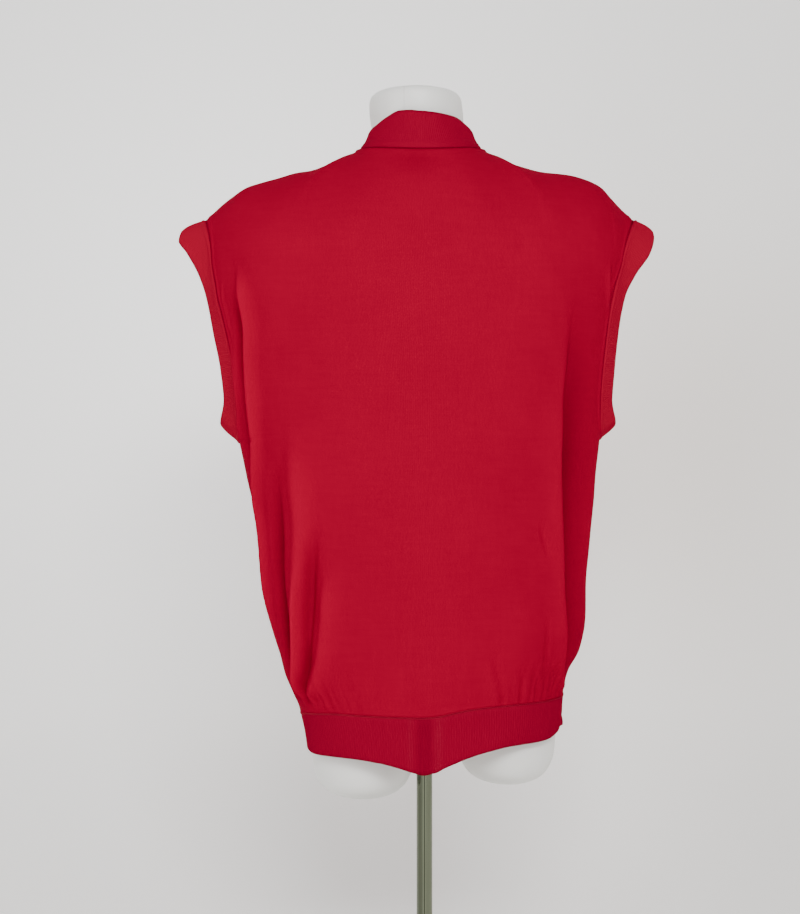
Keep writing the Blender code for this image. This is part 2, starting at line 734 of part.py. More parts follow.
def stand(collection):
    """The base plate, its hub, and the pole up into the form."""
    low, high = 0.0, BASE_THICKNESS
    turned("base_plate", [
        (0, high),
        (BASE_RADIUS - BASE_EDGE, high),
        (BASE_RADIUS - BASE_EDGE * 0.3, high - BASE_EDGE * 0.3),
        (BASE_RADIUS, high - BASE_EDGE),
        (BASE_RADIUS, low),
        (0, low),
    ], material("base_steel", STEEL_GREY, 0.35, 1.0), collection)
    foot = BASE_THICKNESS + SEAM_GAP
    bore = POLE_RADIUS + SEAM_GAP
    turned("pole_hub", [
        (bore, foot + HUB_HEIGHT),
        (HUB_NECK - HUB_BEVEL, foot + HUB_HEIGHT),
        (HUB_NECK, foot + HUB_HEIGHT - HUB_BEVEL),
        (HUB_NECK, foot + HUB_FLANGE + HUB_BEVEL),
        (HUB_RADIUS, foot + HUB_FLANGE),
        (HUB_RADIUS, foot),
        (bore, foot),
        (bore, foot + HUB_HEIGHT),
    ], material("hub_steel", STEEL_GREY, 0.3, 1.0), collection, steps=32)
    pole_top = FORM_FLOOR + POLE_INSERTION
    turned("pole", [
        (0, pole_top),
        (POLE_RADIUS, pole_top),
        (POLE_RADIUS, foot),
        (0, foot),
    ], material("pole_steel", POLE_GREY, 0.2, 1.0), collection, steps=24)


def main():
    for thing in list(bpy.data.objects):
        bpy.data.objects.remove(thing, do_unlink=True)
    collection = bpy.data.collections.new(PART_COLLECTION)
    cutters = bpy.data.collections.new(CUTTER_COLLECTION)
    bpy.context.scene.collection.children.link(collection)
    bpy.context.scene.collection.children.link(cutters)
    for facing in ("back", "front"):
        jersey = material("jersey_" + facing, JERSEY_RED, 0.85)
        body_panel(facing + "_panel", facing, jersey, collection)
        rib = material("hem_rib_" + facing, RIB_RED, 0.88)
        hem_rib("hem_rib_" + facing, facing, rib, collection)
    armhole_band("armhole_band_left", 1, material("armhole_rib_left", RIB_RED, 0.88), collection)
    armhole_band("armhole_band_right", -1, material("armhole_rib_right", RIB_RED, 0.88), collection)
    neckband("neckband", material("neck_rib", RIB_RED, 0.88), collection)
    form_body(material("form_plastic", FORM_WHITE, 0.35), collection, cutters)
    stand(collection)


main()
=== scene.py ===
from collections import namedtuple
from math import copysign, cos, hypot, pi, radians, sin

import bmesh
import bpy
import numpy as np
from bpy.props import FloatProperty, FloatVectorProperty, PointerProperty
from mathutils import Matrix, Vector


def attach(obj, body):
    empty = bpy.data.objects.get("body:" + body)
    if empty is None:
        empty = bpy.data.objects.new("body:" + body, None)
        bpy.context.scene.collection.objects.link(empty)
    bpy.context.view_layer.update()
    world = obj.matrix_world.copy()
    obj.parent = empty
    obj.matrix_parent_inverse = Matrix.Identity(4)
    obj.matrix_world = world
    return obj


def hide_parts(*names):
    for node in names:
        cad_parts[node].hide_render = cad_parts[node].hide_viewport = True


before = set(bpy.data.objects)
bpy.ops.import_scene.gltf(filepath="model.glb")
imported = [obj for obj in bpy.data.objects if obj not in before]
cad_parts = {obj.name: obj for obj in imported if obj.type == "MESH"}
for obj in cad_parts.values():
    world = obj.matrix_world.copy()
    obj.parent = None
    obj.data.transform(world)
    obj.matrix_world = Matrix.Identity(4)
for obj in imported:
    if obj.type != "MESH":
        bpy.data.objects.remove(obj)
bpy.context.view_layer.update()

bl_info = {
    "name": "Knitted Vest on a Dress Form",
    "version": (1, 0, 0),
    "blender": (4, 5, 0),
    "location": "View3D > Sidebar > Knitwear",
    "description": "Knits the vest in fine gauge, dresses its form and sets up a small studio",
    "category": "Object",
}

COLLECTION = "knitted_vest"
UV_NAME = "knit"


class Rows:
    """A short table with named columns, read between its rows along a smooth curve."""

    def __init__(self, columns, *rows):
        self.columns = columns.split()
        self.table = np.array(rows, dtype=float)

    def read(self, key, *names):
        """The named columns where the first column, which rises down the table, is key."""
        found = [self.curve(key, self.table[:, self.columns.index(name)]) for name in names]
        return found[0] if len(found) == 1 else found

    def curve(self, key, values):
        """A column's values between its rows, never past the two rows beside them."""
        keys = self.table[:, 0]
        steps = np.diff(keys)
        climbs = np.diff(values) / steps
        before, after = climbs[:-1], climbs[1:]
        total = np.where(before + after == 0, 1.0, before + after)
        slopes = np.zeros(len(keys))
        slopes[1:-1] = np.where(before * after > 0, 2 * before * after / total, 0.0)
        key = np.clip(np.asarray(key, dtype=float), keys[0], keys[-1])
        place = np.clip(np.searchsorted(keys, key, side="right") - 1, 0, len(keys) - 2)
        step = steps[place]
        t = (key - keys[place]) / step
        rise = values[place + 1] - values[place]
        start, end = slopes[place] * step, slopes[place + 1] * step
        bend = 3 * rise - 2 * start - end + t * (start + end - 2 * rise)
        return values[place] + t * (start + t * bend)


# The garment's own sizes, in metres and degrees

SEAM_GAP = 0.0003
SECTION_POWER = 2 / 2.4            # the sections are rounded a little squarer than an ellipse
SEAM_LEVEL = 0.413                 # mean height of the seam between a panel and its hem rib
UNDERARM_LEVEL = 0.7165
YOKE_LEVEL = 0.930                 # above this a panel curves over the shoulder
FRONT_DIP = 0.150                  # how far the front's courses dip towards the point of the V
COLLAR_CENTRE = 0.0045             # the vest hangs a little towards the wearer's left
NECK_HALF_WIDTH = 0.0735
NECK_POINT_Z = 1.0580
BACK_NECK_DEPTH = 0.080
BACK_NECK_Z = 1.0454
V_POINT_DEPTH = 0.1250
V_POINT_Z = 0.870
V_CROWDING = 1.6
V_RETURN = (2.2, 0.6)              # how the chest's curve takes the V back to the shoulder
V_RISE = 1.05
NECK_SHARE = 0.34                  # share of half a panel's top edge that is neckline
MITRE_SHARE = 0.316                # how far up the V the two mitred ends reach
MITRE_START = 0.004
MITRE_FADE = 0.34
NECK_POINT_SHARE = 0.68
YOKE_REACH = 1.15                  # how far a wale keeps its direction over the shoulder
SMALL_STEP = 0.01                  # between two points that give a direction
BESIDE_SEAM = 0.985                # share of half a panel just short of its edge
WIDTH_ROUND = 0.52 / 180           # metres of cloth for each degree of turn, for the stitch count
YOKE_LENGTH = 0.15                 # from the yoke level to a panel's top edge, for the same
FLARE_LIFT = 0.35                  # how much of an armhole band's flare goes upwards

# Outer outline of the knitted tube: reach to the wearer's left and right, and to back and front
BODY = Rows(
    "z left right back front",
    (0.345, 0.1365, 0.1535, 0.103, 0.0985),
    (0.379, 0.14, 0.156, 0.1045, 0.1),
    (0.402, 0.145, 0.16, 0.106, 0.1015),
    (0.4212, 0.1515, 0.1615, 0.1085, 0.1045),
    (0.4494, 0.1645, 0.1675, 0.112, 0.109),
    (0.4776, 0.171, 0.179, 0.1135, 0.1115),
    (0.5059, 0.1765, 0.1845, 0.114, 0.1125),
    (0.5624, 0.1865, 0.1875, 0.114, 0.114),
    (0.6188, 0.194, 0.192, 0.115, 0.116),
    (0.6753, 0.2085, 0.1975, 0.117, 0.119),
    (0.7165, 0.216, 0.203, 0.119, 0.1215),
    (0.8, 0.2311, 0.2156, 0.1215, 0.127),
    (0.8556, 0.245, 0.2236, 0.122, 0.128),
    (0.89, 0.2526, 0.2295, 0.121, 0.126),
    (0.95, 0.256, 0.2393, 0.115, 0.113),
)

# Courses of a panel beside the armhole: how far behind and before the side its edge lies
ARMHOLE = Rows(
    "z back front",
    (0.7165, 0, 0),
    (0.719, 0.017, 0.018),
    (0.726, 0.032, 0.034),
    (0.74, 0.0415, 0.045),
    (0.77, 0.049, 0.056),
    (0.81, 0.0535, 0.063),
    (0.85, 0.055, 0.065),
    (0.89, 0.053, 0.062),
    (0.93, 0.0455, 0.052),
)

# Shoulder seam from the neck point to the shoulder tip
SHOULDER = Rows(
    "share left right z",
    (0, 0.078, 0.069, 1.058),
    (0.1, 0.0955, 0.088, 1.0465),
    (0.25, 0.125, 0.1265, 1.035),
    (0.45, 0.162, 0.1735, 1.0275),
    (0.66, 0.198, 0.2, 1.019),
    (0.8, 0.224, 0.2165, 1.0045),
    (0.92, 0.245, 0.233, 0.987),
    (1, 0.256, 0.244, 0.9776),
)

# Direction in which a panel's wales reach its top edge: inwards, onwards over the shoulder, up
OVER_SHOULDER = (
    (0.34, 0.4, 0.85, 0.22),
    (0.45, 0.3, 0.93, 0.08),
    (0.6, 0.15, 0.98, 0),
    (0.8, 0.05, 1, -0.03),
    (1, 0, 1, -0.05),
)
ARRIVAL = {
    "back": Rows(
        "share inwards onwards up",
        (0, 0, 0.55, 0.83),
        (0.15, 0.1, 0.62, 0.72),
        (0.26, 0.28, 0.75, 0.5),
        *OVER_SHOULDER,
    ),
    "front": Rows(
        "share inwards onwards up",
        (0, 0, 0.02, 1),
        (0.1, 0.02, 0.3, 0.95),
        (0.19, 0.1, 0.56, 0.82),
        (0.26, 0.26, 0.75, 0.56),
        *OVER_SHOULDER,
    ),
}

# Seam above the hem rib and the hem itself, by turn: 0 centre back, 90 wearer's left side
HEM = Rows(
    "turn seam hem",
    (-180, 0.413, 0.362),
    (-135, 0.42, 0.374),
    (-90, 0.424, 0.3868),
    (-78, 0.4245, 0.3835),
    (-66, 0.425, 0.3812),
    (-50, 0.4253, 0.38),
    (-31, 0.425, 0.3788),
    (-20, 0.4238, 0.3742),
    (-12, 0.4215, 0.3682),
    (-7, 0.4185, 0.3625),
    (-3, 0.4155, 0.3572),
    (0, 0.4136, 0.3515),
    (2.5, 0.413, 0.3493),
    (6, 0.4131, 0.3518),
    (12, 0.4133, 0.3568),
    (20, 0.4136, 0.3612),
    (35, 0.4138, 0.3645),
    (60, 0.4092, 0.3625),
    (90, 0.402, 0.361),
    (135, 0.408, 0.361),
    (180, 0.413, 0.362),
)

# Free edge of an armhole band, by share of the way from the underarm to the shoulder tip
ARMHOLE_EDGE = Rows(
    "share z left right back front",
    (0, 0.7395, 0.241, 0.2257, 0, 0),
    (0.1, 0.746, 0.2385, 0.223, 0.014, 0.015),
    (0.21, 0.767, 0.234, 0.218, 0.0245, 0.029),
    (0.34, 0.8, 0.237, 0.22, 0.029, 0.036),
    (0.5, 0.842, 0.245, 0.224, 0.031, 0.039),
    (0.67, 0.885, 0.2535, 0.232, 0.031, 0.038),
    (0.77, 0.91, 0.262, 0.244, 0.029, 0.035),
    (0.87, 0.936, 0.2765, 0.262, 0.022, 0.026),
    (0.95, 0.9535, 0.2878, 0.2684, 0.0125, 0.015),
    (0.985, 0.961, 0.2876, 0.2696, 0.005, 0.006),
    (1, 0.964, 0.286, 0.2694, 0, 0),
)

# How much an armhole band stands out from its seam, and how its free edge drops
ARMHOLE_FLARE = Rows(
    "share out drop",
    (0, 1.2, -0.6),
    (0.08, 0.6, -0.2),
    (0.2, 0, 0),
    (0.75, 0, 0),
    (0.9, 0.4, 0.3),
    (1, 0.9, 0.9),
)

# Neckband by share of the half loop from the point of the V to the centre back: its width
# on each side, how far it curves in between its edges, and the direction that its outer face
# looks in, sideways, to the back and up
NECKBAND = Rows(
    "share left right hollow side back up",
    (0, 0.036, 0.036, 0, 0, -1, -0.02),
    (0.13, 0.036, 0.036, 0, 0.09, -0.98, 0.15),
    (0.21, 0.036, 0.036, 0, 0.15, -0.94, 0.26),
    (0.3, 0.035, 0.035, 0, 0.25, -0.87, 0.38),
    (0.39, 0.033, 0.034, 0.0004, 0.37, -0.77, 0.48),
    (0.5, 0.029, 0.029, 0.001, 0.62, -0.52, 0.52),
    (0.68, 0.0255, 0.025, 0.0018, 0.87, -0.05, 0.48),
    (0.76, 0.0296, 0.0302, 0.0018, 0.79, 0.37, 0.44),
    (0.82, 0.0392, 0.0392, 0.0014, 0.64, 0.66, 0.38),
    (0.88, 0.0478, 0.0432, 0.0012, 0.47, 0.8, 0.33),
    (0.94, 0.0483, 0.0457, 0.001, 0.24, 0.92, 0.28),
    (1, 0.047, 0.047, 0.0008, 0, 0.96, 0.26),
)

# Long folds. Each runs down its panel along a path of heights and turns from the panel's
# middle (plus is the wearer's left), with half widths in degrees towards the middle and
# towards the side, and the lengths over which it fades in from below and from above
Fold = namedtuple("Fold", "inner outer height below above path")


def fold(inner, outer, height, below, above, *path):
    return Fold(inner, outer, height, below, above, Rows("z turn", *path))


FOLDS = {
    "back": (
        # From the back's left armhole a ridge with a steep outer side, and the groove beside it
        fold(3.4, 1.2, 0.009, 0.1, 0.04, (0.46, 79), (0.57, 73.3), (0.638, 70.3), (0.666, 65.8),
            (0.714, 59.7), (0.744, 58.4), (0.774, 57), (0.809, 55), (0.853, 51), (0.883, 50.8),
            (0.92, 52.6)),
        fold(1.5, 3.2, -0.0082, 0.05, 0.06, (0.62, 75.8), (0.645, 72.8), (0.685, 67),
            (0.719, 62.8), (0.758, 61), (0.809, 58), (0.853, 54.6), (0.9, 55.3)),
        fold(2.6, 2, 0.0036, 0.05, 0.04, (0.69, 75.5), (0.714, 74.5), (0.745, 71.8),
            (0.801, 65.5), (0.84, 62.7)),
        fold(0.9, 1.2, 0.0018, 0.02, 0.02, (0.835, 63), (0.872, 63.5), (0.9, 62.8)),
        # Down the back's left side to the rib
        fold(3.4, 4.2, -0.012, 0.02, 0.1, (0.425, 67), (0.446, 66.3), (0.493, 63.3),
            (0.527, 61.3), (0.572, 60), (0.618, 56.8), (0.7, 49)),
        fold(1.2, 1.7, -0.0044, 0.012, 0.06, (0.424, 67.5), (0.446, 66.3), (0.493, 63.6),
            (0.55, 61.2)),
        fold(6, 3.8, 0.0078, 0.03, 0.12, (0.42, 64), (0.454, 57.8), (0.498, 52.4), (0.574, 46.4),
            (0.675, 39.6), (0.763, 37.4)),
        fold(1.6, 1.3, 0.0044, 0.02, 0.06, (0.425, 63), (0.454, 57.8), (0.476, 54.6),
            (0.498, 52.5), (0.59, 46)),
        fold(2.6, 2.6, -0.008, 0.02, 0.08, (0.424, 58.5), (0.466, 49.6), (0.499, 46),
            (0.543, 41.6), (0.586, 38.4), (0.64, 34.8)),
        fold(1.1, 1.2, -0.0034, 0.015, 0.03, (0.424, 58.5), (0.466, 49.6), (0.505, 45.6)),
        fold(6, 2.6, 0.0062, 0.02, 0.07, (0.424, 53.5), (0.451, 45.4), (0.479, 39.8),
            (0.533, 34.5), (0.6, 30.4)),
        # The back's right side folds under in one long pleat with a rolled lip
        fold(2, 13, -0.012, 0.1, 0.12, (0.424, -79), (0.452, -69.5), (0.473, -62.2), (0.523, -57),
            (0.585, -54), (0.65, -50.5), (0.718, -48.2), (0.79, -46.5), (0.88, -45)),
        fold(0.9, 6, -0.0115, 0.09, 0.1, (0.424, -79), (0.452, -69.5), (0.473, -61.5),
            (0.523, -56.2), (0.585, -53.4), (0.65, -49.6), (0.718, -47.2), (0.79, -45.5)),
        fold(7, 1.1, 0.0044, 0.03, 0.1, (0.424, -75), (0.452, -66.2), (0.473, -58.6),
            (0.523, -53.4), (0.585, -50.6), (0.65, -47), (0.718, -44.6), (0.8, -42.6)),
        fold(6, 8, 0.0035, 0.1, 0.12, (0.43, -86), (0.6, -77), (0.8, -73)),
        fold(1.6, 1, 0.0024, 0.03, 0.03, (0.86, -64.5), (0.89, -63), (0.905, -61.2),
            (0.924, -59.8)),
        fold(0.9, 2.2, -0.0028, 0.03, 0.03, (0.86, -66.3), (0.89, -64.8), (0.905, -63),
            (0.924, -61.8)),
    ),
    "front": (
        # The front hangs in fewer and softer folds
        fold(5.5, 8, -0.009, 0.03, 0.14, (0.42, -69), (0.53, -63.5), (0.64, -59.5), (0.84, -56)),
        fold(6, 1.8, 0.0026, 0.03, 0.12, (0.42, -63.5), (0.53, -58.5), (0.64, -54.5), (0.76, -52)),
        fold(6, 6, 0.0048, 0.08, 0.1, (0.43, -82), (0.57, -77), (0.72, -74)),
        fold(7, 5, -0.0075, 0.03, 0.14, (0.422, 64), (0.52, 58.5), (0.61, 56), (0.8, 58)),
        fold(1.8, 5.5, 0.0024, 0.06, 0.06, (0.56, 63), (0.64, 61), (0.76, 62.5), (0.85, 60)),
        fold(7.5, 4, 0.004, 0.02, 0.1, (0.422, 52), (0.47, 46.5), (0.54, 41.5), (0.68, 37)),
        fold(2.4, 1.8, -0.002, 0.02, 0.05, (0.422, 45), (0.46, 39.5), (0.52, 34), (0.57, 32)),
        fold(6.5, 5, -0.0034, 0.02, 0.08, (0.42, -23), (0.5, -26.5), (0.62, -31)),
        fold(1.8, 2.2, 0.0016, 0.02, 0.05, (0.42, -30.5), (0.48, -33.5), (0.56, -39)),
    ),
}

# Short creases, between two points seen square on to their panel, bowed sideways in between
Crease = namedtuple("Crease", "x_top z_top x_bottom z_bottom bow width height")
CREASES = {
    "back": (
        Crease(-0.0055, 0.556, 0.009, 0.417, 0.005, 0.0038, -0.0024),
        Crease(0.0145, 0.578, 0.0315, 0.48, -0.002, 0.005, -0.0015),
        Crease(0.056, 0.505, 0.052, 0.425, 0.0015, 0.006, -0.0007),
        Crease(-0.043, 0.49, -0.048, 0.424, -0.001, 0.005, 0.0007),
        Crease(-0.075, 0.488, -0.086, 0.42, 0.001, 0.0032, -0.002),
        Crease(-0.07, 0.478, -0.08, 0.424, 0, 0.003, 0.0015),
        Crease(-0.105, 0.47, -0.108, 0.42, 0.0008, 0.003, -0.0009),
        Crease(-0.119, 0.462, -0.124, 0.428, 0, 0.0024, -0.0012),
        Crease(-0.127, 0.468, -0.133, 0.43, 0.0006, 0.0022, 0.0011),
        Crease(-0.1363, 0.516, -0.1305, 0.446, -0.0008, 0.003, -0.0016),
        Crease(-0.1275, 0.626, -0.136, 0.592, 0.0008, 0.003, -0.0019),
        Crease(0.129, 0.452, 0.122, 0.421, 0.0008, 0.0022, -0.0012),
        Crease(0.089, 0.47, 0.083, 0.422, 0.001, 0.0035, -0.0011),
    ),
    "front": (
        Crease(0.01, 0.56, -0.006, 0.42, 0.004, 0.005, -0.0015),
        Crease(0.031, 0.5, 0.027, 0.422, -0.001, 0.004, 0.0008),
        Crease(0.08, 0.52, 0.088, 0.425, -0.002, 0.0045, -0.0013),
        Crease(-0.06, 0.53, -0.052, 0.43, 0.003, 0.0045, -0.0014),
        Crease(-0.101, 0.472, -0.096, 0.424, 0, 0.003, -0.001),
        Crease(0.118, 0.478, 0.124, 0.428, 0.0005, 0.003, -0.0012),
    ),
}

# Dress form: reach to the wearer's left and right, and to back and front
FORM = Rows(
    "z left right back front",
    (0.392, 0.12, 0.138, 0.076, 0.072),
    (0.399, 0.137, 0.153, 0.092, 0.088),
    (0.415, 0.1425, 0.1565, 0.0985, 0.095),
    (0.45, 0.145, 0.157, 0.1005, 0.097),
    (0.5, 0.144, 0.152, 0.0975, 0.0965),
    (0.55, 0.143, 0.145, 0.093, 0.096),
    (0.6, 0.146, 0.143, 0.091, 0.098),
    (0.65, 0.154, 0.147, 0.094, 0.102),
    (0.7, 0.164, 0.153, 0.099, 0.108),
    (0.76, 0.176, 0.161, 0.106, 0.114),
    (0.82, 0.186, 0.17, 0.11, 0.117),
    (0.88, 0.197, 0.182, 0.11, 0.113),
    (0.92, 0.208, 0.194, 0.106, 0.104),
    (0.95, 0.215, 0.201, 0.101, 0.095),
    (0.975, 0.2165, 0.203, 0.095, 0.085),
    (0.992, 0.213, 0.2, 0.089, 0.076),
    (1.005, 0.204, 0.193, 0.082, 0.069),
    (1.014, 0.19, 0.182, 0.075, 0.063),
    (1.0212, 0.162, 0.157, 0.069, 0.058),
    (1.029, 0.129, 0.123, 0.063, 0.053),
    (1.037, 0.103, 0.092, 0.059, 0.049),
    (1.0472, 0.08, 0.068, 0.0565, 0.0475),
    (1.06, 0.066, 0.054, 0.055, 0.0485),
    (1.07, 0.0625, 0.049, 0.055, 0.05),
    (1.085, 0.0622, 0.046, 0.055, 0.052),
    (1.1, 0.0645, 0.0455, 0.056, 0.053),
    (1.114, 0.065, 0.044, 0.056, 0.0545),
    (1.12, 0.0635, 0.0425, 0.0545, 0.053),
    (1.124, 0.059, 0.0385, 0.0505, 0.049),
    (1.1262, 0.05, 0.03, 0.042, 0.041),
)

# Thigh stumps under the hips
Stump = namedtuple("Stump", "middle half_width half_depth lowest")
STUMPS = (
    Stump(0.0718, 0.06, 0.072, 0.304),
    Stump(-0.0957, 0.0575, 0.072, 0.321),
)
STUMP_HALF_HEIGHT = 0.064
STUMP_POWER = 2 / 3.2

# How finely the visible cloth is divided
PANEL_COLUMNS = {"back": 236, "front": 190}
DENSE = (0.36, 0.94, 1.3)          # between these shares of half a panel, this much denser
LOWER_ROWS = 156
YOKE_ROWS = 42
RIB_ROWS = 15
BAND_ROWS = 18
BAND_SHARES = np.linspace(0, 1, BAND_ROWS) ** 1.5
SAMPLES_PER_RIB = 6
FINE_STEPS = 2001                  # for lines that are read again at other distances
TURN_STEPS = 721                   # the same round half the hem
NECK_STEPS = 1200                  # and round half the neck
LOOP_STEPS = (160, 60)             # along an armhole's seam, below and above the yoke level
BLUR_STEPS = 41                    # over which a band's direction is evened out
FORM_TURNS = 120
FORM_LEVELS = ((0.392, 0.45, 14), (0.45, 1.0, 70), (1.0, 1.1262, 44))
BALL_PARTS = (64, 32)
SHARP_ANGLE = radians(50)          # the form keeps an edge where its faces meet at more

# Ridges, grooves and puckers: how far from a seam the middle lies, half width and height
Ridge = namedtuple("Ridge", "away width height", defaults=(1,))
SEAM_GROOVE = Ridge(0, 0.0012, -0.0009)     # along a band's seam
PLAIN_GROOVE = Ridge(0, 0.0013, -0.0005)    # where two panels are joined
PANEL_WELT = Ridge(0.0048, 0.0016, 0.0015)
BAND_WELT = Ridge(0.0034, 0.0014)           # in shares of the welt's own height
COLLAR_WELTS = (Ridge(0.005, 0.001, 0.55), Ridge(0.008, 0.001, 0.55))
BAND_PLAIN = (0.005, 0.0075)                # ribs begin between these distances from the seam
COLLAR_PLAIN = (0.010, 0.012)
STITCH_SINK = -0.0005                       # how far a band's linking stitches lie in their groove
HEM_TIP = Ridge(-90, 3.2, 0.005)            # the hem's corner, by turn from the centre back
HEM_WAVE = 0.0006                           # how far the hem's free edge sways in and out
GATHERS = Ridge(-48, 16, 0.0013)            # puckers above the hem, fullest near this turn
CALM_EDGE = 0.016                           # creases fade out this near to a panel's edge
GATHERS_REACH = 0.035                       # how far they reach up from the hem rib
EDGE_ROUNDING = (0.0028, 0.0008)            # width and depth of a band's rounded free edge
FOLD_SHADE_ATTRIBUTE = "relief"                      # a panel's own attribute: how far its folds stand out, which paints shade into their troughs and highlight onto their crests
FULL_FOLD_SHADE = 0.014                         # the fold height that counts as 1 in it, where the painted shade and highlight are full

# Stripes and patches of the surfaces: middle and half width across, and where needed up
POLE_SHADE = (0.0020, 0.0080)               # the rib's dark stripe above the pole
STRETCHED = ((-0.0135, 0.0052), (0.0175, 0.0036))    # the rib's stretched stripes beside it
NECK_SHADE = ((0.0104, 0.0250), (1.0270, 0.0150))    # painted shade of the hollow below the collar
MOULD_SEAM = (0.0242, 0.0007)               # down the back of the form's neck
POLE_WIDTH = 0.019
# Places across the pole, and how bright its reflection is there
POLE_BANDS = tuple((place, (tone, tone, tone)) for place, tone in (
    (0.00, 1.05), (0.22, 1.10), (0.40, 0.95), (0.44, 1.45), (0.49, 0.40), (0.54, 0.45),
    (0.58, 1.50), (0.63, 0.75), (0.80, 0.62), (0.95, 0.90), (1.00, 0.60),
))


# Settings


def number(name, description, default, unit="LENGTH", low=0):
    return FloatProperty(name=name, description=description, default=default, unit=unit, min=low)


def tint(name, description, default):
    return FloatVectorProperty(name=name, description=description, default=default, subtype="COLOR")


class KnitSettings(bpy.types.PropertyGroup):
    """Sizes of the yarn, the stitches and the seams."""

    wale: number("Wale", "Width of a column of jersey stitches", 0.0021)
    course: number("Course", "Height of a row of jersey stitches", 0.0016)
    rib_pitch: number("Rib pitch", "From one rib to the next", 0.0029)
    rib_relief: number("Rib relief", "Half the height of a rib", 0.0002)
    jersey_wall: number("Jersey", "Thickness of the plain knit", 0.0018)
    rib_wall: number("Rib", "Thickness of the ribbed knit", 0.0024)
    welt: number("Welt", "Height of the ridge beside a linked seam", 0.0012)
    link_pitch: number("Link pitch", "From one linking stitch to the next", 0.0024)
    yarn: number("Yarn", "Half the thickness of the linking yarn", 0.00024)


class ColourSettings(bpy.types.PropertyGroup):
    """Colours of the cloth, the form and the stand."""

    jersey: tint("Jersey", "Plain knit", (0.288, 0.0004, 0.0195))
    rib: tint("Rib", "Ribbed knit", (0.246, 0.0014, 0.0195))
    band: tint("Band", "Stretched rib round the armholes", (0.325, 0.004, 0.024))
    link: tint("Link", "Paler yarn above the hem rib", (0.34, 0.014, 0.036))
    form: tint("Form", "Moulded plastic", (0.85, 0.845, 0.815))
    steel: tint("Steel", "Polished pole", (0.135, 0.150, 0.104))
    paper: tint("Paper", "Floor and backdrop", (0.84, 0.84, 0.83))


class StudioSettings(bpy.types.PropertyGroup):
    """Camera and lights."""

    distance: number("Distance", "From the camera to the pole's plane", 1.6)
    height: number("Height", "Height of the camera", 0.70)
    aside: number("Aside", "Camera's place across the form", 0.0288, low=-10)
    lens: number("Lens", "Focal length in millimetres", 53.57, "NONE")
    key: number("Key", "Power of the main soft box", 82, "POWER")
    side: number("Side", "Power of the side light", 28, "POWER")
    fill: number("Fill", "Power of the weak fill", 13, "POWER")
    glow: number("Glow", "Light of the backdrop itself", 0.60, "NONE")
    sky: number("Surround", "Brightness all round", 0.12, "NONE")


# Small helpers


def way_of(facing):
    """+1 for the back, -1 for the front: which way along Y a panel looks."""
    return 1 if facing == "back" else -1


def blend(start, end, share):
    return start + (end - start) * share


def signed_power(values, power):
    return np.sign(values) * np.abs(values) ** power


def unit(vectors):
    return vectors / np.maximum(np.linalg.norm(vectors, axis=-1, keepdims=True), 1e-12)


def points(x, y, z):
    return np.stack(np.broadcast_arrays(x, y, z), axis=-1).astype(float)


def hermite(start, end, leaving, arriving, t):
    """Points on the curves between two points that have the given end tangents."""
    return (
        start * (2 * t**3 - 3 * t**2 + 1)
        + leaving * (t**3 - 2 * t**2 + t)
        + end * (3 * t**2 - 2 * t**3)
        + arriving * (t**3 - t**2)
    )


def bell(away, width):
    """1 where away is 0, falling softly to 0 on both sides."""
    return np.exp(-((away / width) ** 2))


def raised(ridge, place):
    """Height of a ridge or groove at a place across it."""
    return ridge.height * bell(place - ridge.away, ridge.width)


def smooth_step(low, high, values):
    t = np.clip((values - low) / (high - low), 0, 1)
    return t * t * (3 - 2 * t)


def lengths_along(grid, axis=0):
    """Distance travelled at each point along one axis of a line or a grid."""
    steps = np.linalg.norm(np.diff(grid, axis=axis), axis=-1)
    return np.insert(np.cumsum(steps, axis=axis), 0, 0.0, axis=axis)


def resample(places, travelled, *arrays):
    """Arrays that follow a line, read again at other distances along it."""
    found = []
    for array in arrays:
        columns = array.reshape(len(array), -1).T
        read = np.stack([np.interp(places, travelled, column) for column in columns], axis=-1)
        found.append(read.reshape((len(places),) + array.shape[1:]))
    return found


def grid_normals(grid, closed=False):
    """The direction that each point of a grid of points looks in."""
    if closed:
        along = np.roll(grid, -1, axis=0) - np.roll(grid, 1, axis=0)
    else:
        along = np.gradient(grid, axis=0)
    across = np.gradient(grid, axis=1)
    return unit(np.cross(across, along))


# The knitted tube


def fold_rise(facing, z, turn):
    """How far the long folds lift the cloth off its plain form."""
    z, turn = np.broadcast_arrays(np.asarray(z, dtype=float), np.asarray(turn, dtype=float))
    total = np.zeros(z.shape)
    for each in FOLDS[facing]:
        heights = each.path.table[:, 0]
        low, high = heights[0] - 0.005, heights[-1]
        fade = smooth_step(low, low + each.below, z) * smooth_step(high, high - each.above, z)
        line = each.path.read(z, "turn")
        away = (turn - line) * np.sign(each.path.table[0, 1])
        width = np.where(away > 0, each.outer, each.inner)
        total += each.height * fade * bell(away, width)
    return total


def tube(facing, z, turn):
    """Points of the tube's outer face; turn is in degrees from the middle of a panel."""
    left, right, depth = BODY.read(z, "left", "right", facing)
    middle, half = (left - right) / 2, (left + right) / 2
    across = signed_power(np.sin(np.radians(turn)), SECTION_POWER)
    along = np.abs(np.cos(np.radians(turn))) ** SECTION_POWER
    way = way_of(facing)
    outwards = unit(points(across / half, way * along / depth, 0.0))
    plain = points(middle + half * across, way * depth * along, z)
    return plain + outwards * fold_rise(facing, z, turn)[..., None]


def edge_turn(facing, level):
    """Turn at a panel's edge: the side seam, and above the underarm the armhole."""
    share = ARMHOLE.read(level, facing) / BODY.read(level, facing)
    turn = np.degrees(np.arccos(share ** (1 / SECTION_POWER)))
    return np.where(level <= UNDERARM_LEVEL, 90.0, turn)


def half_gap(facing):
    """How far a panel stands back from the plane where it meets the other."""
    return np.array([0, way_of(facing) * SEAM_GAP / 2, 0])


def full_turn(facing, turn):
    """A turn from the middle of a panel as a turn from the centre back."""
    if facing == "back":
        return turn
    return np.sign(turn) * (180 - np.abs(turn)) + (turn == 0) * 180


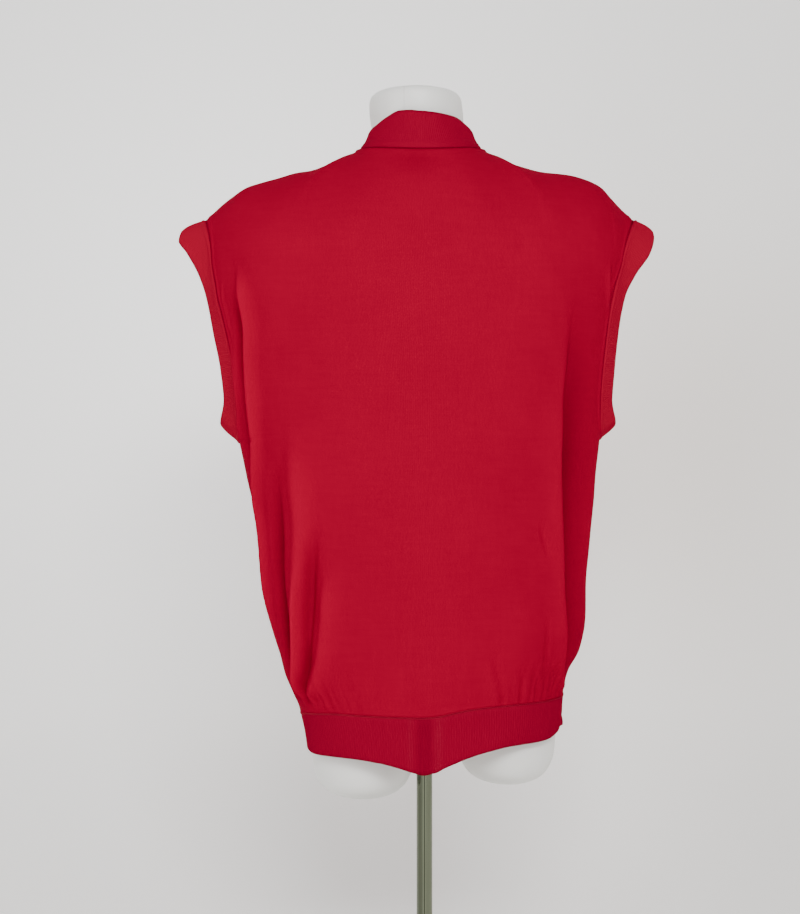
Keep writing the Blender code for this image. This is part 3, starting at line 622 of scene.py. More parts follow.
def course_turn(facing, level, u):
    return 90 * u - (90 - edge_turn(facing, level)) * u**3


def course(facing, level, u):
    """Points below the yoke, on the course at a level, from right edge -1 to left edge 1."""
    turn = course_turn(facing, level, u)
    rise = (level - SEAM_LEVEL) / (YOKE_LEVEL - SEAM_LEVEL)
    z = level + (HEM.read(full_turn(facing, turn), "seam") - SEAM_LEVEL) * (1 - rise) ** 2
    if facing == "front":
        z = z - FRONT_DIP * rise**2 * (1 - u * u) ** 2
    return tube(facing, z, turn)


def neckline(facing, share, side):
    """Points of the neckline, from the centre at 0 to the neck point at 1."""
    if facing == "back":
        angle = share * pi / 2
        across = NECK_HALF_WIDTH * np.sin(angle)
        y = BACK_NECK_DEPTH * np.cos(angle)
        z = blend(BACK_NECK_Z, NECK_POINT_Z, np.sin(angle) ** 2)
    else:
        up = 1 - (1 - share) ** V_CROWDING
        across = NECK_HALF_WIDTH * up
        y = -V_POINT_DEPTH * np.clip(1 - up ** V_RETURN[0], 0, None) ** V_RETURN[1]
        z = blend(V_POINT_Z, NECK_POINT_Z, up**V_RISE)
    return points(COLLAR_CENTRE + side * across, y, z)


def shoulder(share, side):
    """Points of the shoulder seam, from the neck point at 0 to the shoulder tip at 1."""
    left, right, z = SHOULDER.read(share, "left", "right", "z")
    return points(side * np.where(side > 0, left, right), 0.0, z)


def top_edge(facing, u):
    """Points of a panel's top edge: its neckline, then its shoulder seam."""
    side = np.where(u >= 0, 1, -1)
    share = np.abs(u)
    neck = neckline(facing, np.clip(share / NECK_SHARE, 0, 1), side)
    seam = shoulder(np.clip((share - NECK_SHARE) / (1 - NECK_SHARE), 0, 1), side)
    return np.where((share <= NECK_SHARE)[..., None], neck, seam)


def yoke(facing, u, t):
    """Points above the yoke level, on the curves that go over the shoulder."""
    start, end = course(facing, YOKE_LEVEL, u), top_edge(facing, u)
    leaving = unit(start - course(facing, YOKE_LEVEL - SMALL_STEP, u))
    side = np.where(u >= 0, 1, -1)
    way = way_of(facing)
    inwards, onwards, up = ARRIVAL[facing].read(np.abs(u), "inwards", "onwards", "up")
    arriving = unit(points(-side * inwards, -way * onwards, up))
    reach = np.linalg.norm(end - start, axis=-1, keepdims=True) * YOKE_REACH
    return hermite(start, end, leaving * reach, arriving * reach, np.asarray(t)[..., None])


def panel(facing, u, v):
    """Points of a panel: v counts courses to the yoke, and runs from 1 to 2 above it."""
    u, v = np.broadcast_arrays(np.asarray(u, dtype=float), np.asarray(v, dtype=float))
    low = course(facing, np.minimum(v, YOKE_LEVEL), u)
    high = yoke(facing, u, np.clip(v - 1, 0, 1))
    found = np.where((v <= YOKE_LEVEL)[..., None], low, high)
    return found + half_gap(facing)


def crease_rise(facing, grid):
    """How far the short creases lift the cloth, at each point of a grid."""
    x, z = grid[..., 0], grid[..., 2]
    total = np.zeros(x.shape)
    for crease in CREASES[facing]:
        t = (crease.z_top - z) / (crease.z_top - crease.z_bottom)
        bow = crease.bow * 4 * t * (1 - t)
        away = x - blend(crease.x_top, crease.x_bottom, t) - bow
        fade = smooth_step(-0.1, 0.35, t) * smooth_step(1.15, 0.8, t)
        total += crease.height * fade * bell(away, crease.width)
    return total


def unevenness(facing, grid):
    """Gentle rolling of hand-smoothed knit, in waves of unlike lengths and directions."""
    x, z = grid[..., 0], grid[..., 2]
    shift = 0.0 if facing == "back" else 2.1
    rolls = (
        (0.00045, 61, 17, 0.3),
        (0.00035, -43, 36, 1.9),
        (0.00030, 96, -23, 4.4),
        (0.00020, 140, 52, 2.6),
        (0.00018, -171, 88, 5.2),
    )
    return sum(size * np.sin(a * x + b * z + phase + shift) for size, a, b, phase in rolls)


def gathers(facing, grid, turn):
    """Puckers above the hem rib, where the rib draws the cloth in."""
    up = grid[..., 2] - SEAM_LEVEL
    fade = bell(np.clip(up, 0, None), GATHERS_REACH) * smooth_step(0.0, 0.012, up)
    way = way_of(facing)
    waves = ((1.0, 1.31, way), (0.7, 0.83, 2 * way), (0.5, 2.17, 0.0))
    ripple = sum(size * np.sin(rate * turn + phase) for size, rate, phase in waves)
    strength = 0.45 + 0.55 * bell(turn * way - GATHERS.away, GATHERS.width)
    return GATHERS.height * fade * ripple * strength


# Meshes


def knit_mesh(node, outer, normals, uv, surface, wall, closed=False):
    """A knitted piece: a grid of points on its outer face, an inner face a wall's thickness
    behind it and the edges between them, with its stitch counts as UV."""
    count, width = outer.shape[:2]
    total = count * width
    rows = np.arange(count if closed else count - 1)
    here = (rows[:, None] * width + np.arange(width - 1)[None, :]).ravel()
    there = (((rows + 1) % count)[:, None] * width + np.arange(width - 1)[None, :]).ravel()
    front = np.stack([here, here + 1, there + 1, there], axis=1)
    first, after = rows * width, ((rows + 1) % count) * width
    last, beyond = first + width - 1, after + width - 1
    rims = [np.stack([first, after, after + total, first + total], axis=1)]
    rims.append(np.stack([beyond, last, last + total, beyond + total], axis=1))
    if not closed:
        start = np.arange(width - 1)
        end = start + (count - 1) * width
        rims.append(np.stack([start + 1, start, start + total, start + 1 + total], axis=1))
        rims.append(np.stack([end, end + 1, end + 1 + total, end + total], axis=1))
    faces = np.concatenate([front, front[:, ::-1] + total, *rims])
    inner = outer - normals * wall
    name = "knitted_" + node
    mesh = bpy.data.meshes.new(name)
    mesh.from_pydata(np.concatenate([outer, inner]).reshape(-1, 3).tolist(), [], faces.tolist())
    corners = uv.reshape(-1, 2)[faces % total]
    if closed:
        row = (faces % total) // width
        wrapped = (row == 0) & (row.max(axis=1, keepdims=True) == count - 1)
        corners[..., 0] += wrapped * (uv[-1, 0, 0] * count / (count - 1))
    layer = mesh.uv_layers.new(name=UV_NAME)
    layer.data.foreach_set("uv", corners.reshape(-1).astype(np.float32))
    mesh.shade_smooth()
    mesh.materials.append(surface)
    made = add_object(name, mesh)
    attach(made, "root")
    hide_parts(node)
    return made


def apply_modifiers(thing):
    """Make an object's evaluated mesh its own and take its modifiers off."""
    graph = bpy.context.evaluated_depsgraph_get()
    made = bpy.data.meshes.new_from_object(thing.evaluated_get(graph))
    made.name = thing.name
    thing.modifiers.clear()
    thing.data = made


def add_object(name, data):
    """A new object in the vest's own collection."""
    found = bpy.data.collections.get(COLLECTION)
    if found is None:
        found = bpy.data.collections.new(COLLECTION)
        bpy.context.scene.collection.children.link(found)
    made = bpy.data.objects.new(name, data)
    found.objects.link(made)
    return made


# Shaders


def arithmetic(operation, swapped=False):
    """A method that makes a Math node of a signal and another value."""

    def method(self, other):
        given = [other, self] if swapped else [self, other]
        made = self.shader.node("Math", {"operation": operation}, given)
        return Signal(self.shader, made.outputs[0])

    return method


class Signal:
    """A shader socket that takes part in Python arithmetic."""

    def __init__(self, shader, socket):
        self.shader = shader
        self.socket = socket

    __add__ = __radd__ = arithmetic("ADD")
    __sub__ = arithmetic("SUBTRACT")
    __rsub__ = arithmetic("SUBTRACT", swapped=True)
    __mul__ = arithmetic("MULTIPLY")
    __truediv__ = arithmetic("DIVIDE")

    def apply(self, operation, *others):
        """A Math node on this signal and others, numbers or signals."""
        made = self.shader.node("Math", {"operation": operation}, [self, *others])
        return Signal(self.shader, made.outputs[0])


class Shader:
    """A material with a Principled shader, and the nodes that feed it."""

    def __init__(self, name, **settings):
        self.material = bpy.data.materials.new(name)
        self.material.use_nodes = True
        self.tree = self.material.node_tree
        self.principled = self.tree.nodes["Principled BSDF"]
        self.feed(self.principled, settings)

    def feed(self, target, values):
        """Set or link a node's inputs, given by name or in order."""
        pairs = values.items() if isinstance(values, dict) else enumerate(values)
        for key, value in pairs:
            if isinstance(key, str):
                key = key.replace("_", " ")
            socket = target.inputs[key]
            if isinstance(value, Signal):
                value = value.socket
            if isinstance(value, bpy.types.NodeSocket):
                self.tree.links.new(value, socket)
            elif socket.type == "RGBA":
                socket.default_value = (*value[:3], 1.0)
            else:
                socket.default_value = value

    def node(self, kind, settings=None, values=()):
        """A node of a type, with its settings set first and then its inputs."""
        made = self.tree.nodes.new("ShaderNode" + kind)
        for key, value in (settings or {}).items():
            if key == "stops":
                self.set_stops(made.color_ramp, value)
            else:
                setattr(made, key, value)
        self.feed(made, values)
        return made

    @staticmethod
    def set_stops(ramp, stops):
        while len(ramp.elements) < len(stops):
            ramp.elements.new(0.5)
        for element, (place, colour) in zip(ramp.elements, stops):
            element.position = place
            element.color = (*colour, 1.0)

    def noise(self, vector, scale, detail=2.0):
        """Fractal noise about 0.5."""
        made = self.node("TexNoise", {}, {"Vector": vector, "Scale": scale, "Detail": detail})
        return Signal(self, made.outputs[0])

    def mix(self, share, start, end, kind="MIX"):
        """A colour between two colours, or mixed in another of Blender's ways."""
        made = self.node("Mix", {"data_type": "RGBA", "blend_type": kind})
        self.feed(made, {0: share, 6: start, 7: end})
        return made.outputs[2]

    def bump(self, height, distance, strength):
        """The normal over a height from 0 to 1."""
        values = {"Height": height, "Distance": distance, "Strength": strength}
        return self.node("Bump", {}, values).outputs[0]

    def place(self):
        """Object coordinates."""
        return self.node("TexCoord").outputs["Object"]

    def stretched(self, place, scale):
        """Coordinates scaled along each axis."""
        return self.node("Mapping", {}, {"Vector": place, "Scale": scale}).outputs[0]


FIBRE_SCALE = 900      # of the noise that stands for single fibres
YARN_SCALE = 1400
PEEL_SCALE = 260       # of the plastic's orange peel
CLOUD_SCALE = 1.5
KNIT_BUMP = (0.0004, 0.35)
STRETCHED_COLOUR = (0.42, 0.040, 0.070)


def shade(colour, factor):
    return tuple(min(1.0, part * factor) for part in colour)


def stitch_relief(across, up):
    """Height of plain knit from its stitch counts: two legs in each column, leaning outwards."""
    half = (across.apply("FRACT") - 0.5).apply("ABSOLUTE") * 2
    leg = 1 - (half * 2 - 1) * (half * 2 - 1)
    phase = (up - half * 0.55).apply("FRACT")
    plump = (phase * pi).apply("SINE")
    return leg * (plump * 0.6 + 0.4)


def knit_shader(name):
    """A dull woolly surface, with its stitch counts across and up."""
    shader = Shader(name, Roughness=0.92, Specular_IOR_Level=0.01)
    uv = shader.node("UVMap", {"uv_map": UV_NAME})
    axes = shader.node("SeparateXYZ", {}, [uv.outputs[0]])
    return shader, Signal(shader, axes.outputs[0]), Signal(shader, axes.outputs[1])


def hump(signal, middle, half_width):
    """A soft hump, 1 at its middle and 0 some way off, made from a signal."""
    away = (signal - middle) / half_width
    return (away * away * -1).apply("EXPONENT")


def coordinates(shader):
    """Object coordinates as three signals."""
    axes = shader.node("SeparateXYZ", {}, [shader.place()])
    return [Signal(shader, output) for output in axes.outputs]


def jersey_material(name, colour):
    """Fine plain knit, with its stitches counted by the UV map, and painted shade and highlight
    over its long folds.
    """
    shader, across, up = knit_shader(name)
    relief = stitch_relief(across, up)
    place = shader.place()
    tone = shader.noise(place, 11, 3.0)
    streak = shader.noise(shader.stretched(place, (1, 1, 0.12)), 210)
    level = shader.noise(shader.stretched(place, (0.1, 0.1, 1)), 330)
    fibre = shader.noise(place, FIBRE_SCALE)
    depth = relief * 0.22 + tone * 0.30 + streak * 0.14 + level * 0.26 + fibre * 0.16
    x, y, z = coordinates(shader)
    # painted shade in the hollow below the collar, on the back only
    hollow = hump(x, *NECK_SHADE[0]) * hump(z, *NECK_SHADE[1])
    hollow = hollow * y.apply("GREATER_THAN", 0.0)
    base = shader.mix(depth - hollow * 0.30, shade(colour, 0.76), shade(colour, 1.19))
    # painted shade in the fold troughs and painted highlight on the fold crests
    rise = Signal(shader, shader.node("Attribute", {"attribute_name": FOLD_SHADE_ATTRIBUTE}).outputs["Fac"])
    base = shader.mix((rise * -0.55).apply("MAXIMUM", 0.0), base, shade(colour, 0.45))
    base = shader.mix((rise * 0.7).apply("MAXIMUM", 0.0), base, shade(colour, 1.5))
    normal = shader.bump(relief + fibre * 0.35 + streak * 0.3, *KNIT_BUMP)
    shader.feed(shader.principled, {"Base Color": base, "Normal": normal})
    return shader.material


def rib_material(name, colour, by_pole=False):
    """Ribbed knit: UV counts ribs across and stitches up."""
    shader, across, up = knit_shader(name)
    ridge = (across * (2 * pi)).apply("COSINE") * 0.5 + 0.5
    stitches = stitch_relief(across + 0.5, up)
    place = shader.place()
    fibre = shader.noise(place, FIBRE_SCALE)
    tone = shader.noise(place, 14, 3.0)
    depth = ridge * 0.30 + stitches * 0.14 + tone * 0.34 + fibre * 0.15
    base = shader.mix(depth, shade(colour, 0.90), shade(colour, 1.10))
    if by_pole:
        x, y, _ = coordinates(shader)
        back = y.apply("GREATER_THAN", 0.0)
        dark = hump(x, *POLE_SHADE)
        dark = (dark * 1.6).apply("MINIMUM", 1.0) * back
        base = shader.mix(dark, base, shade(colour, 0.84))
        pale = hump(x, *STRETCHED[0]) + hump(x, *STRETCHED[1]) * 0.7
        speckle = shader.noise(place, 650, 1.0) * 2.4 - 0.9
        pale = pale * back * (0.3 + ridge * 0.7) * speckle.apply("MAXIMUM", 0.0)
        base = shader.mix(pale * 0.22, base, STRETCHED_COLOUR)
    normal = shader.bump(stitches * ridge + fibre * 0.3, *KNIT_BUMP)
    shader.feed(shader.principled, {"Base Color": base, "Normal": normal})
    return shader.material


def link_material(name, colour):
    """The soft twisted yarn of the linking stitches."""
    shader = Shader(name, Roughness=0.9, Specular_IOR_Level=0.02)
    fibre = shader.noise(shader.place(), YARN_SCALE)
    base = shader.mix(fibre, shade(colour, 0.8), shade(colour, 1.2))
    shader.feed(shader.principled, {"Base Color": base, "Normal": shader.bump(fibre, 0.0002, 0.4)})
    return shader.material


def plastic_material(name, colours):
    """Satin moulded plastic with a very fine orange-peel surface and a mould seam on its neck."""
    shader = Shader(name, Roughness=0.42, Specular_IOR_Level=0.4)
    place = shader.place()
    cloud = shader.noise(place, 6, 3.0)
    base = shader.mix(cloud, shade(colours.form, 0.98), shade(colours.form, 1.02))
    x, y, z = coordinates(shader)
    seam = hump(x, *MOULD_SEAM) * z.apply("GREATER_THAN", 1.0) * y.apply("GREATER_THAN", 0.0)
    base = shader.mix(seam * 0.5, base, shade(colours.form, 0.82))
    peel = shader.noise(place, PEEL_SCALE)
    shader.feed(shader.principled, {
        "Base Color": base,
        "Roughness": cloud * 0.1 + 0.38,
        "Normal": shader.bump(peel * 0.4 + seam, 0.0003, 0.3),
    })
    return shader.material


def steel_material(name, colour, roughness, grain, bands=None):
    """Polished or satin steel with a drawn grain, and for a pole long bands of reflection."""
    shader = Shader(name, Metallic=1.0)
    streak = shader.noise(shader.stretched(shader.place(), grain), 420)
    base = shader.mix(streak, shade(colour, 0.85), shade(colour, 1.15))
    if bands:
        x = coordinates(shader)[0]
        ramp = shader.node("ValToRGB", {"stops": bands}, [x / POLE_WIDTH + 0.5])
        base = shader.mix(1.0, base, ramp.outputs[0], "MULTIPLY")
    shader.feed(shader.principled, {
        "Base Color": base,
        "Roughness": streak * 0.12 + (roughness - 0.06),
        "Normal": shader.bump(streak, 0.0001, 0.15),
    })
    return shader.material


# The vest's pieces


def panel_columns(facing):
    """Where a panel's columns of points stand, closer together where the folds are."""
    low, high, more = DENSE
    fine = np.linspace(0, 1, FINE_STEPS)
    density = 1 + more * smooth_step(low - 0.06, low, fine) * smooth_step(high + 0.03, high, fine)
    travelled = np.concatenate([[0.0], np.cumsum((density[1:] + density[:-1]) / 2)])
    half = PANEL_COLUMNS[facing] // 2
    share = np.interp(np.linspace(0, travelled[-1], half + 1), travelled, fine)
    share[np.argmin(np.abs(share - NECK_SHARE))] = NECK_SHARE
    u = np.concatenate([-share[::-1], share[1:]])
    return u if facing == "front" else -u


def panel_grid(facing):
    """Points of a panel, with their turns and levels, from the rib's seam to the top edge."""
    u = panel_columns(facing)
    lower = np.linspace(SEAM_LEVEL, YOKE_LEVEL, LOWER_ROWS)
    upper = 1 + np.linspace(0, 1, YOKE_ROWS)[1:]
    levels = np.concatenate([lower, upper])
    across, up = np.meshgrid(u, levels)
    grid = panel(facing, across, up)
    turn = course_turn(facing, np.minimum(up, YOKE_LEVEL), across)
    normals = grid_normals(grid)
    from_start, from_seam = lengths_along(grid, axis=1), lengths_along(grid)
    from_side = np.minimum(from_start, from_start[:, -1:] - from_start)
    from_top = from_seam[-1:] - from_seam
    calm = smooth_step(0, CALM_EDGE, from_side) * smooth_step(0, CALM_EDGE, from_top)
    rise = crease_rise(facing, grid) + unevenness(facing, grid) + gathers(facing, grid, turn)
    rise *= calm * smooth_step(0, CALM_EDGE / 2, from_seam)
    banded = smooth_step(UNDERARM_LEVEL - 0.002, UNDERARM_LEVEL + 0.010, np.minimum(up, YOKE_LEVEL))
    necked = 1 - smooth_step(NECK_SHARE - 0.01, NECK_SHARE + 0.01, np.abs(across))
    rise += seam_profile(from_side, banded) + seam_profile(from_top, necked)
    return grid + normals * rise[..., None], normals, turn, up


def seam_profile(away, banded):
    """Groove and welt at a panel's edge: full where a band is linked on, slight elsewhere."""
    plain = raised(PLAIN_GROOVE, away)
    return plain + (raised(SEAM_GROOVE, away) + raised(PANEL_WELT, away) - plain) * banded


def make_panel(name, facing, knit, surface):
    """A back or front in plain knit; below it stands on its rib, and its top is bound off."""
    grid, normals, turn, up = panel_grid(facing)
    along = np.where(up > YOKE_LEVEL, YOKE_LEVEL + (up - 1) * YOKE_LENGTH, up)
    uv = np.stack([turn * WIDTH_ROUND / knit.wale, along / knit.course], axis=-1)
    made = knit_mesh(name, grid, normals, uv, surface, knit.jersey_wall)
    # painted shade and highlight: the folds' height, kept for the jersey's colour
    fold_shading = np.clip(fold_rise(facing, grid[..., 2], turn) / FULL_FOLD_SHADE, -1, 1)
    layer = made.data.attributes.new(FOLD_SHADE_ATTRIBUTE, "FLOAT", "POINT")
    layer.data.foreach_set("value", np.concatenate([fold_shading, 0 * fold_shading]).reshape(-1).astype(np.float32))


def make_hem_rib(name, facing, knit, surface):
    """Half of the rib below a panel, with its ribs running down."""
    turns = np.linspace(-90, 90, TURN_STEPS)
    if facing == "back":
        turns = -turns
    whole = full_turn(facing, turns)
    seam = HEM.read(whole, "seam") - SEAM_GAP
    line = tube(facing, seam, turns)
    travelled = lengths_along(line)
    ribs = round(travelled[-1] / knit.rib_pitch)
    places = np.linspace(0, travelled[-1], ribs * SAMPLES_PER_RIB + 1)
    turns, = resample(places, travelled, turns)
    whole = full_turn(facing, turns)
    shares = 1 - np.linspace(0, 1, RIB_ROWS) ** 1.3
    hem = HEM.read(whole, "hem")
    seam = HEM.read(whole, "seam") - SEAM_GAP / 2
    z = hem[None, :] + (seam - hem)[None, :] * shares[:, None]
    grid = tube(facing, z, np.broadcast_to(turns, z.shape)) + half_gap(facing)
    normals = grid_normals(grid[::-1])[::-1]
    count = np.arange(len(places)) / SAMPLES_PER_RIB
    ridge = np.cos(2 * pi * count)[None, :] * knit.rib_relief
    near_edge = 0.6 + 0.4 * smooth_step(0.0, 0.06, shares)[:, None]
    fade = smooth_step(1.0, 0.90, shares)[:, None] * near_edge
    wave = HEM_WAVE * np.sin(0.21 * turns + 0.5)[None, :] * smooth_step(0.8, 0.0, shares)[:, None]
    corner = raised(HEM_TIP, whole)[None, :] * smooth_step(0.45, 0.0, shares)[:, None]
    grid = grid + normals * (ridge * fade + wave + corner)[..., None]
    up = z / (knit.course * 1.1)
    uv = np.stack([np.broadcast_to(count, z.shape), up], axis=-1)
    made = knit_mesh(name, grid[::-1], normals[::-1], uv[::-1], surface, knit.rib_wall)
    line = tube(facing, HEM.read(whole, "seam"), turns) + half_gap(facing)
    stitches = link_stitches(name, line, normals[0], knit, 0.0001, "pale_yarn")


def armhole_half(facing, side):
    """The armhole's seam on one panel, from the underarm up, and where the cloth heads there."""
    low = UNDERARM_LEVEL + (YOKE_LEVEL - UNDERARM_LEVEL) * np.linspace(0, 1, LOOP_STEPS[0]) ** 2
    levels = np.concatenate([low, 1 + np.linspace(0, 1, LOOP_STEPS[1])[1:]])
    seam = panel(facing, float(side), levels)
    inner = panel(facing, side * BESIDE_SEAM, levels)
    along = unit(np.gradient(seam, axis=0))
    off = seam - inner
    off = unit(off - along * np.sum(off * along, axis=-1, keepdims=True))
    off[0] = (0, 0, 1)
    return seam, off


def armhole_band_grid(side, knit):
    """Points across an armhole band all round its loop, and the points of its seam."""
    column = "left" if side > 0 else "right"
    loops = []
    for facing in ("back", "front"):
        seam, off = armhole_half(facing, side)
        travelled = lengths_along(seam)
        share = travelled / travelled[-1]
        x, y, z = ARMHOLE_EDGE.read(share, column, facing, "z")
        edge = points(side * x, way_of(facing) * y, z)
        loops.append((seam, off, edge, *ARMHOLE_FLARE.read(share, "out", "drop")))
    joined = [np.concatenate([back, front[::-1][1:-1]]) for back, front in zip(*loops)]
    seam, off, edge, out, drop = joined
    ring = np.concatenate([seam, seam[:1]])
    travelled = lengths_along(ring)
    ribs = round(travelled[-1] / knit.rib_pitch)
    places = np.linspace(0, travelled[-1], ribs * SAMPLES_PER_RIB, endpoint=False)
    closing = [np.concatenate([array, array[:1]]) for array in joined]
    seam, off, edge, out, drop = resample(places, travelled, *closing)
    blur = np.hanning(BLUR_STEPS) / np.hanning(BLUR_STEPS).sum()
    spare = BLUR_STEPS // 2
    for axis in range(3):
        wrapped = np.concatenate([off[-spare:, axis], off[:, axis], off[:spare, axis]])
        off[:, axis] = np.convolve(wrapped, blur, mode="valid")
    off = unit(off)
    lifted = unit(off + points(side * out, 0.0, out * FLARE_LIFT))
    arriving = unit(unit(edge - seam) - points(0.0, 0.0, drop))
    reach = np.linalg.norm(edge - seam, axis=-1, keepdims=True)
    start = seam + lifted * SEAM_GAP / 2
    ends = [each[:, None] for each in (start, edge, lifted * reach, arriving * reach)]
    return hermite(*ends, BAND_SHARES[None, :, None]), seam


def make_armhole_band(name, side, knit, surface):
    """A ribbed band round an armhole, with a linked welt beside its seam."""
    grid, seam = armhole_band_grid(side, knit)
    if side > 0:
        grid, seam = grid[::-1], seam[::-1]
    normals = grid_normals(grid, closed=True)
    count = np.arange(len(grid)) / SAMPLES_PER_RIB
    width = np.linalg.norm(grid[:, -1] - grid[:, 0], axis=-1)[:, None]
    across = BAND_SHARES[None, :] * width
    rise = np.cos(2 * pi * count)[:, None] * knit.rib_relief * smooth_step(*BAND_PLAIN, across)
    rise = rise + knit.welt * raised(BAND_WELT, across) + edge_profile(across, width)
    grid = grid + normals * rise[..., None]
    uv = np.stack([np.broadcast_to(count[:, None], across.shape), across / knit.course], axis=-1)
    made = knit_mesh(name, grid, normals, uv, surface, knit.rib_wall, closed=True)
    ring = np.concatenate([seam, seam[:1]])
    facing = np.concatenate([normals[:, 0], normals[:1, 0]])
    stitches = link_stitches(name, ring, facing, knit, STITCH_SINK)


def edge_profile(across, width):
    """How a band's linked edge sinks into its seam, and its free edge is rounded."""
    rounded = EDGE_ROUNDING[1] * smooth_step(width - EDGE_ROUNDING[0], width, across) ** 2
    return raised(SEAM_GROOVE, across) - rounded


def neck_seam(share, side):
    """Points of the neckline, from the point of the V at 0 to the centre back at 1 and past it."""
    front = neckline("front", np.clip(share / NECK_POINT_SHARE, 0, 1), side)
    back = neckline("back", np.clip((1 - share) / (1 - NECK_POINT_SHARE), -1, 1), side)
    return np.where((share <= NECK_POINT_SHARE)[..., None], front, back)


def neckband_points(share, across, side):
    """Points of the neckband's outer face; across is 0 at the seam and 1 at the free edge."""
    low, high = np.clip(share - SMALL_STEP, 0, 1), share + SMALL_STEP
    along = unit(neck_seam(high, side) - neck_seam(low, side))
    column = "left" if side > 0 else "right"
    aside, back, up, width, hollow = NECKBAND.read(share, "side", "back", "up", column, "hollow")
    looks = unit(points(side * aside, back, up))
    rising = unit(np.cross(looks, along)) * side
    sag = looks * (hollow * 4 * across * (1 - across))[..., None]
    return neck_seam(share, side) + rising * blend(SEAM_GAP / 2, width, across)[..., None] - sag


def neckband_half(side, shares):
    """Rows of points across half the neckband, its front end mitred."""
    w = BAND_SHARES[None, :]
    shift = MITRE_SHARE * NECK_POINT_SHARE * np.clip(1 - shares / MITRE_FADE, 0, None)
    moved = shares[:, None] + shift[:, None] * w
    grid = neckband_points(moved, np.broadcast_to(w, moved.shape), side)
    grid[0, :, 0] = COLLAR_CENTRE + side * SEAM_GAP / 2
    return grid


def make_neckband(name, knit, surface):
    """One ribbed strip round the neck, standing at the back and mitred at the centre front."""
    shares = np.linspace(MITRE_START, 1, NECK_STEPS)
    travelled = lengths_along(neck_seam(shares, 1))
    ribs = round(travelled[-1] / knit.rib_pitch)
    places = np.linspace(0, travelled[-1], ribs * SAMPLES_PER_RIB + 1)
    shares, = resample(places, travelled, shares)
    grid = np.concatenate([neckband_half(-1, shares), neckband_half(1, shares)[::-1][1:]])
    normals = grid_normals(grid)
    count = np.arange(len(grid)) / SAMPLES_PER_RIB
    width = np.linalg.norm(grid[:, -1] - grid[:, 0], axis=-1)[:, None]
    across = BAND_SHARES[None, :] * width
    ridge = np.cos(2 * pi * count)[:, None] * knit.rib_relief * smooth_step(*COLLAR_PLAIN, across)
    welts = sum(raised(welt, across) for welt in COLLAR_WELTS)
    ends = smooth_step(0.0, 0.01, shares)
    ends = np.concatenate([ends, ends[::-1][1:]])[:, None]
    rise = (ridge + knit.welt * welts) * ends + edge_profile(across, width)
    grid = grid + normals * rise[..., None]
    uv = np.stack([np.broadcast_to(count[:, None], across.shape), across / knit.course], axis=-1)
    made = knit_mesh(name, grid, normals, uv, surface, knit.jersey_wall)
    seam = np.concatenate([neck_seam(shares, -1), neck_seam(shares, 1)[::-1][1:]])
    stitches = link_stitches(name, seam, normals[:, 0], knit, STITCH_SINK)


# Linking stitches

LOOP_SHAPE = (0.72, 0.36, 1.0)     # a loop's size in shares of the pitch
LOOP_LEAN = 0.28                   # in radians


def add_node(group, kind, values, **settings):
    """The first output of a new node, with its settings set first and then its inputs."""
    made = group.nodes.new(kind)
    for key, value in settings.items():
        setattr(made, key, value)
    for key, value in values.items():
        if isinstance(value, bpy.types.NodeSocket):
            group.links.new(value, made.inputs[key])
        else:
            made.inputs[key].default_value = value
    return made.outputs[0] if made.outputs else None


def stitch_group():
    """Nodes that lay small loops of yarn, end over end, along an edge with stated directions."""
    found = bpy.data.node_groups.get("linking")
    if found is not None:
        return found
    group = bpy.data.node_groups.new("linking", "GeometryNodeTree")
    given = {"Seam": "Geometry", "Pitch": "Float", "Yarn": "Float", "Surface": "Material"}
    for name, kind in given.items():
        group.interface.new_socket(name, in_out="INPUT", socket_type="NodeSocket" + kind)
    group.interface.new_socket("Stitches", in_out="OUTPUT", socket_type="NodeSocketGeometry")
    given = group.nodes.new("NodeGroupInput").outputs

    def geometry(kind, values, **settings):
        return add_node(group, "GeometryNode" + kind, values, **settings)

    def direction(name):
        return geometry("InputNamedAttribute", {"Name": name}, data_type="FLOAT_VECTOR")

    seam = geometry("MeshToCurve", {0: given["Seam"]})
    evenly = geometry("ResampleCurve", {"Curve": seam, "Length": given["Pitch"]}, mode="LENGTH")
    turned = add_node(
        group, "FunctionNodeAxesToRotation", {0: direction("looks"), 1: direction("along")},
        primary_axis="Z", secondary_axis="X",
    )
    size = add_node(
        group, "ShaderNodeVectorMath", {0: LOOP_SHAPE, "Scale": given["Pitch"]}, operation="SCALE"
    )
    ring = geometry("CurvePrimitiveCircle", {"Resolution": 8, "Radius": 1.0})
    oval = geometry("Transform", {"Geometry": ring, "Rotation": (0, LOOP_LEAN, 0), "Scale": size})
    strand = geometry("CurvePrimitiveCircle", {"Resolution": 4, "Radius": given["Yarn"]})
    loop = geometry("CurveToMesh", {"Curve": oval, "Profile Curve": strand})
    placed = geometry("InstanceOnPoints", {"Points": evenly, "Instance": loop, "Rotation": turned})
    real = geometry("RealizeInstances", {0: placed})
    faced = geometry("SetMaterial", {"Geometry": real, "Material": given["Surface"]})
    smooth = geometry("SetShadeSmooth", {0: faced})
    add_node(group, "NodeGroupOutput", {0: smooth})
    return group


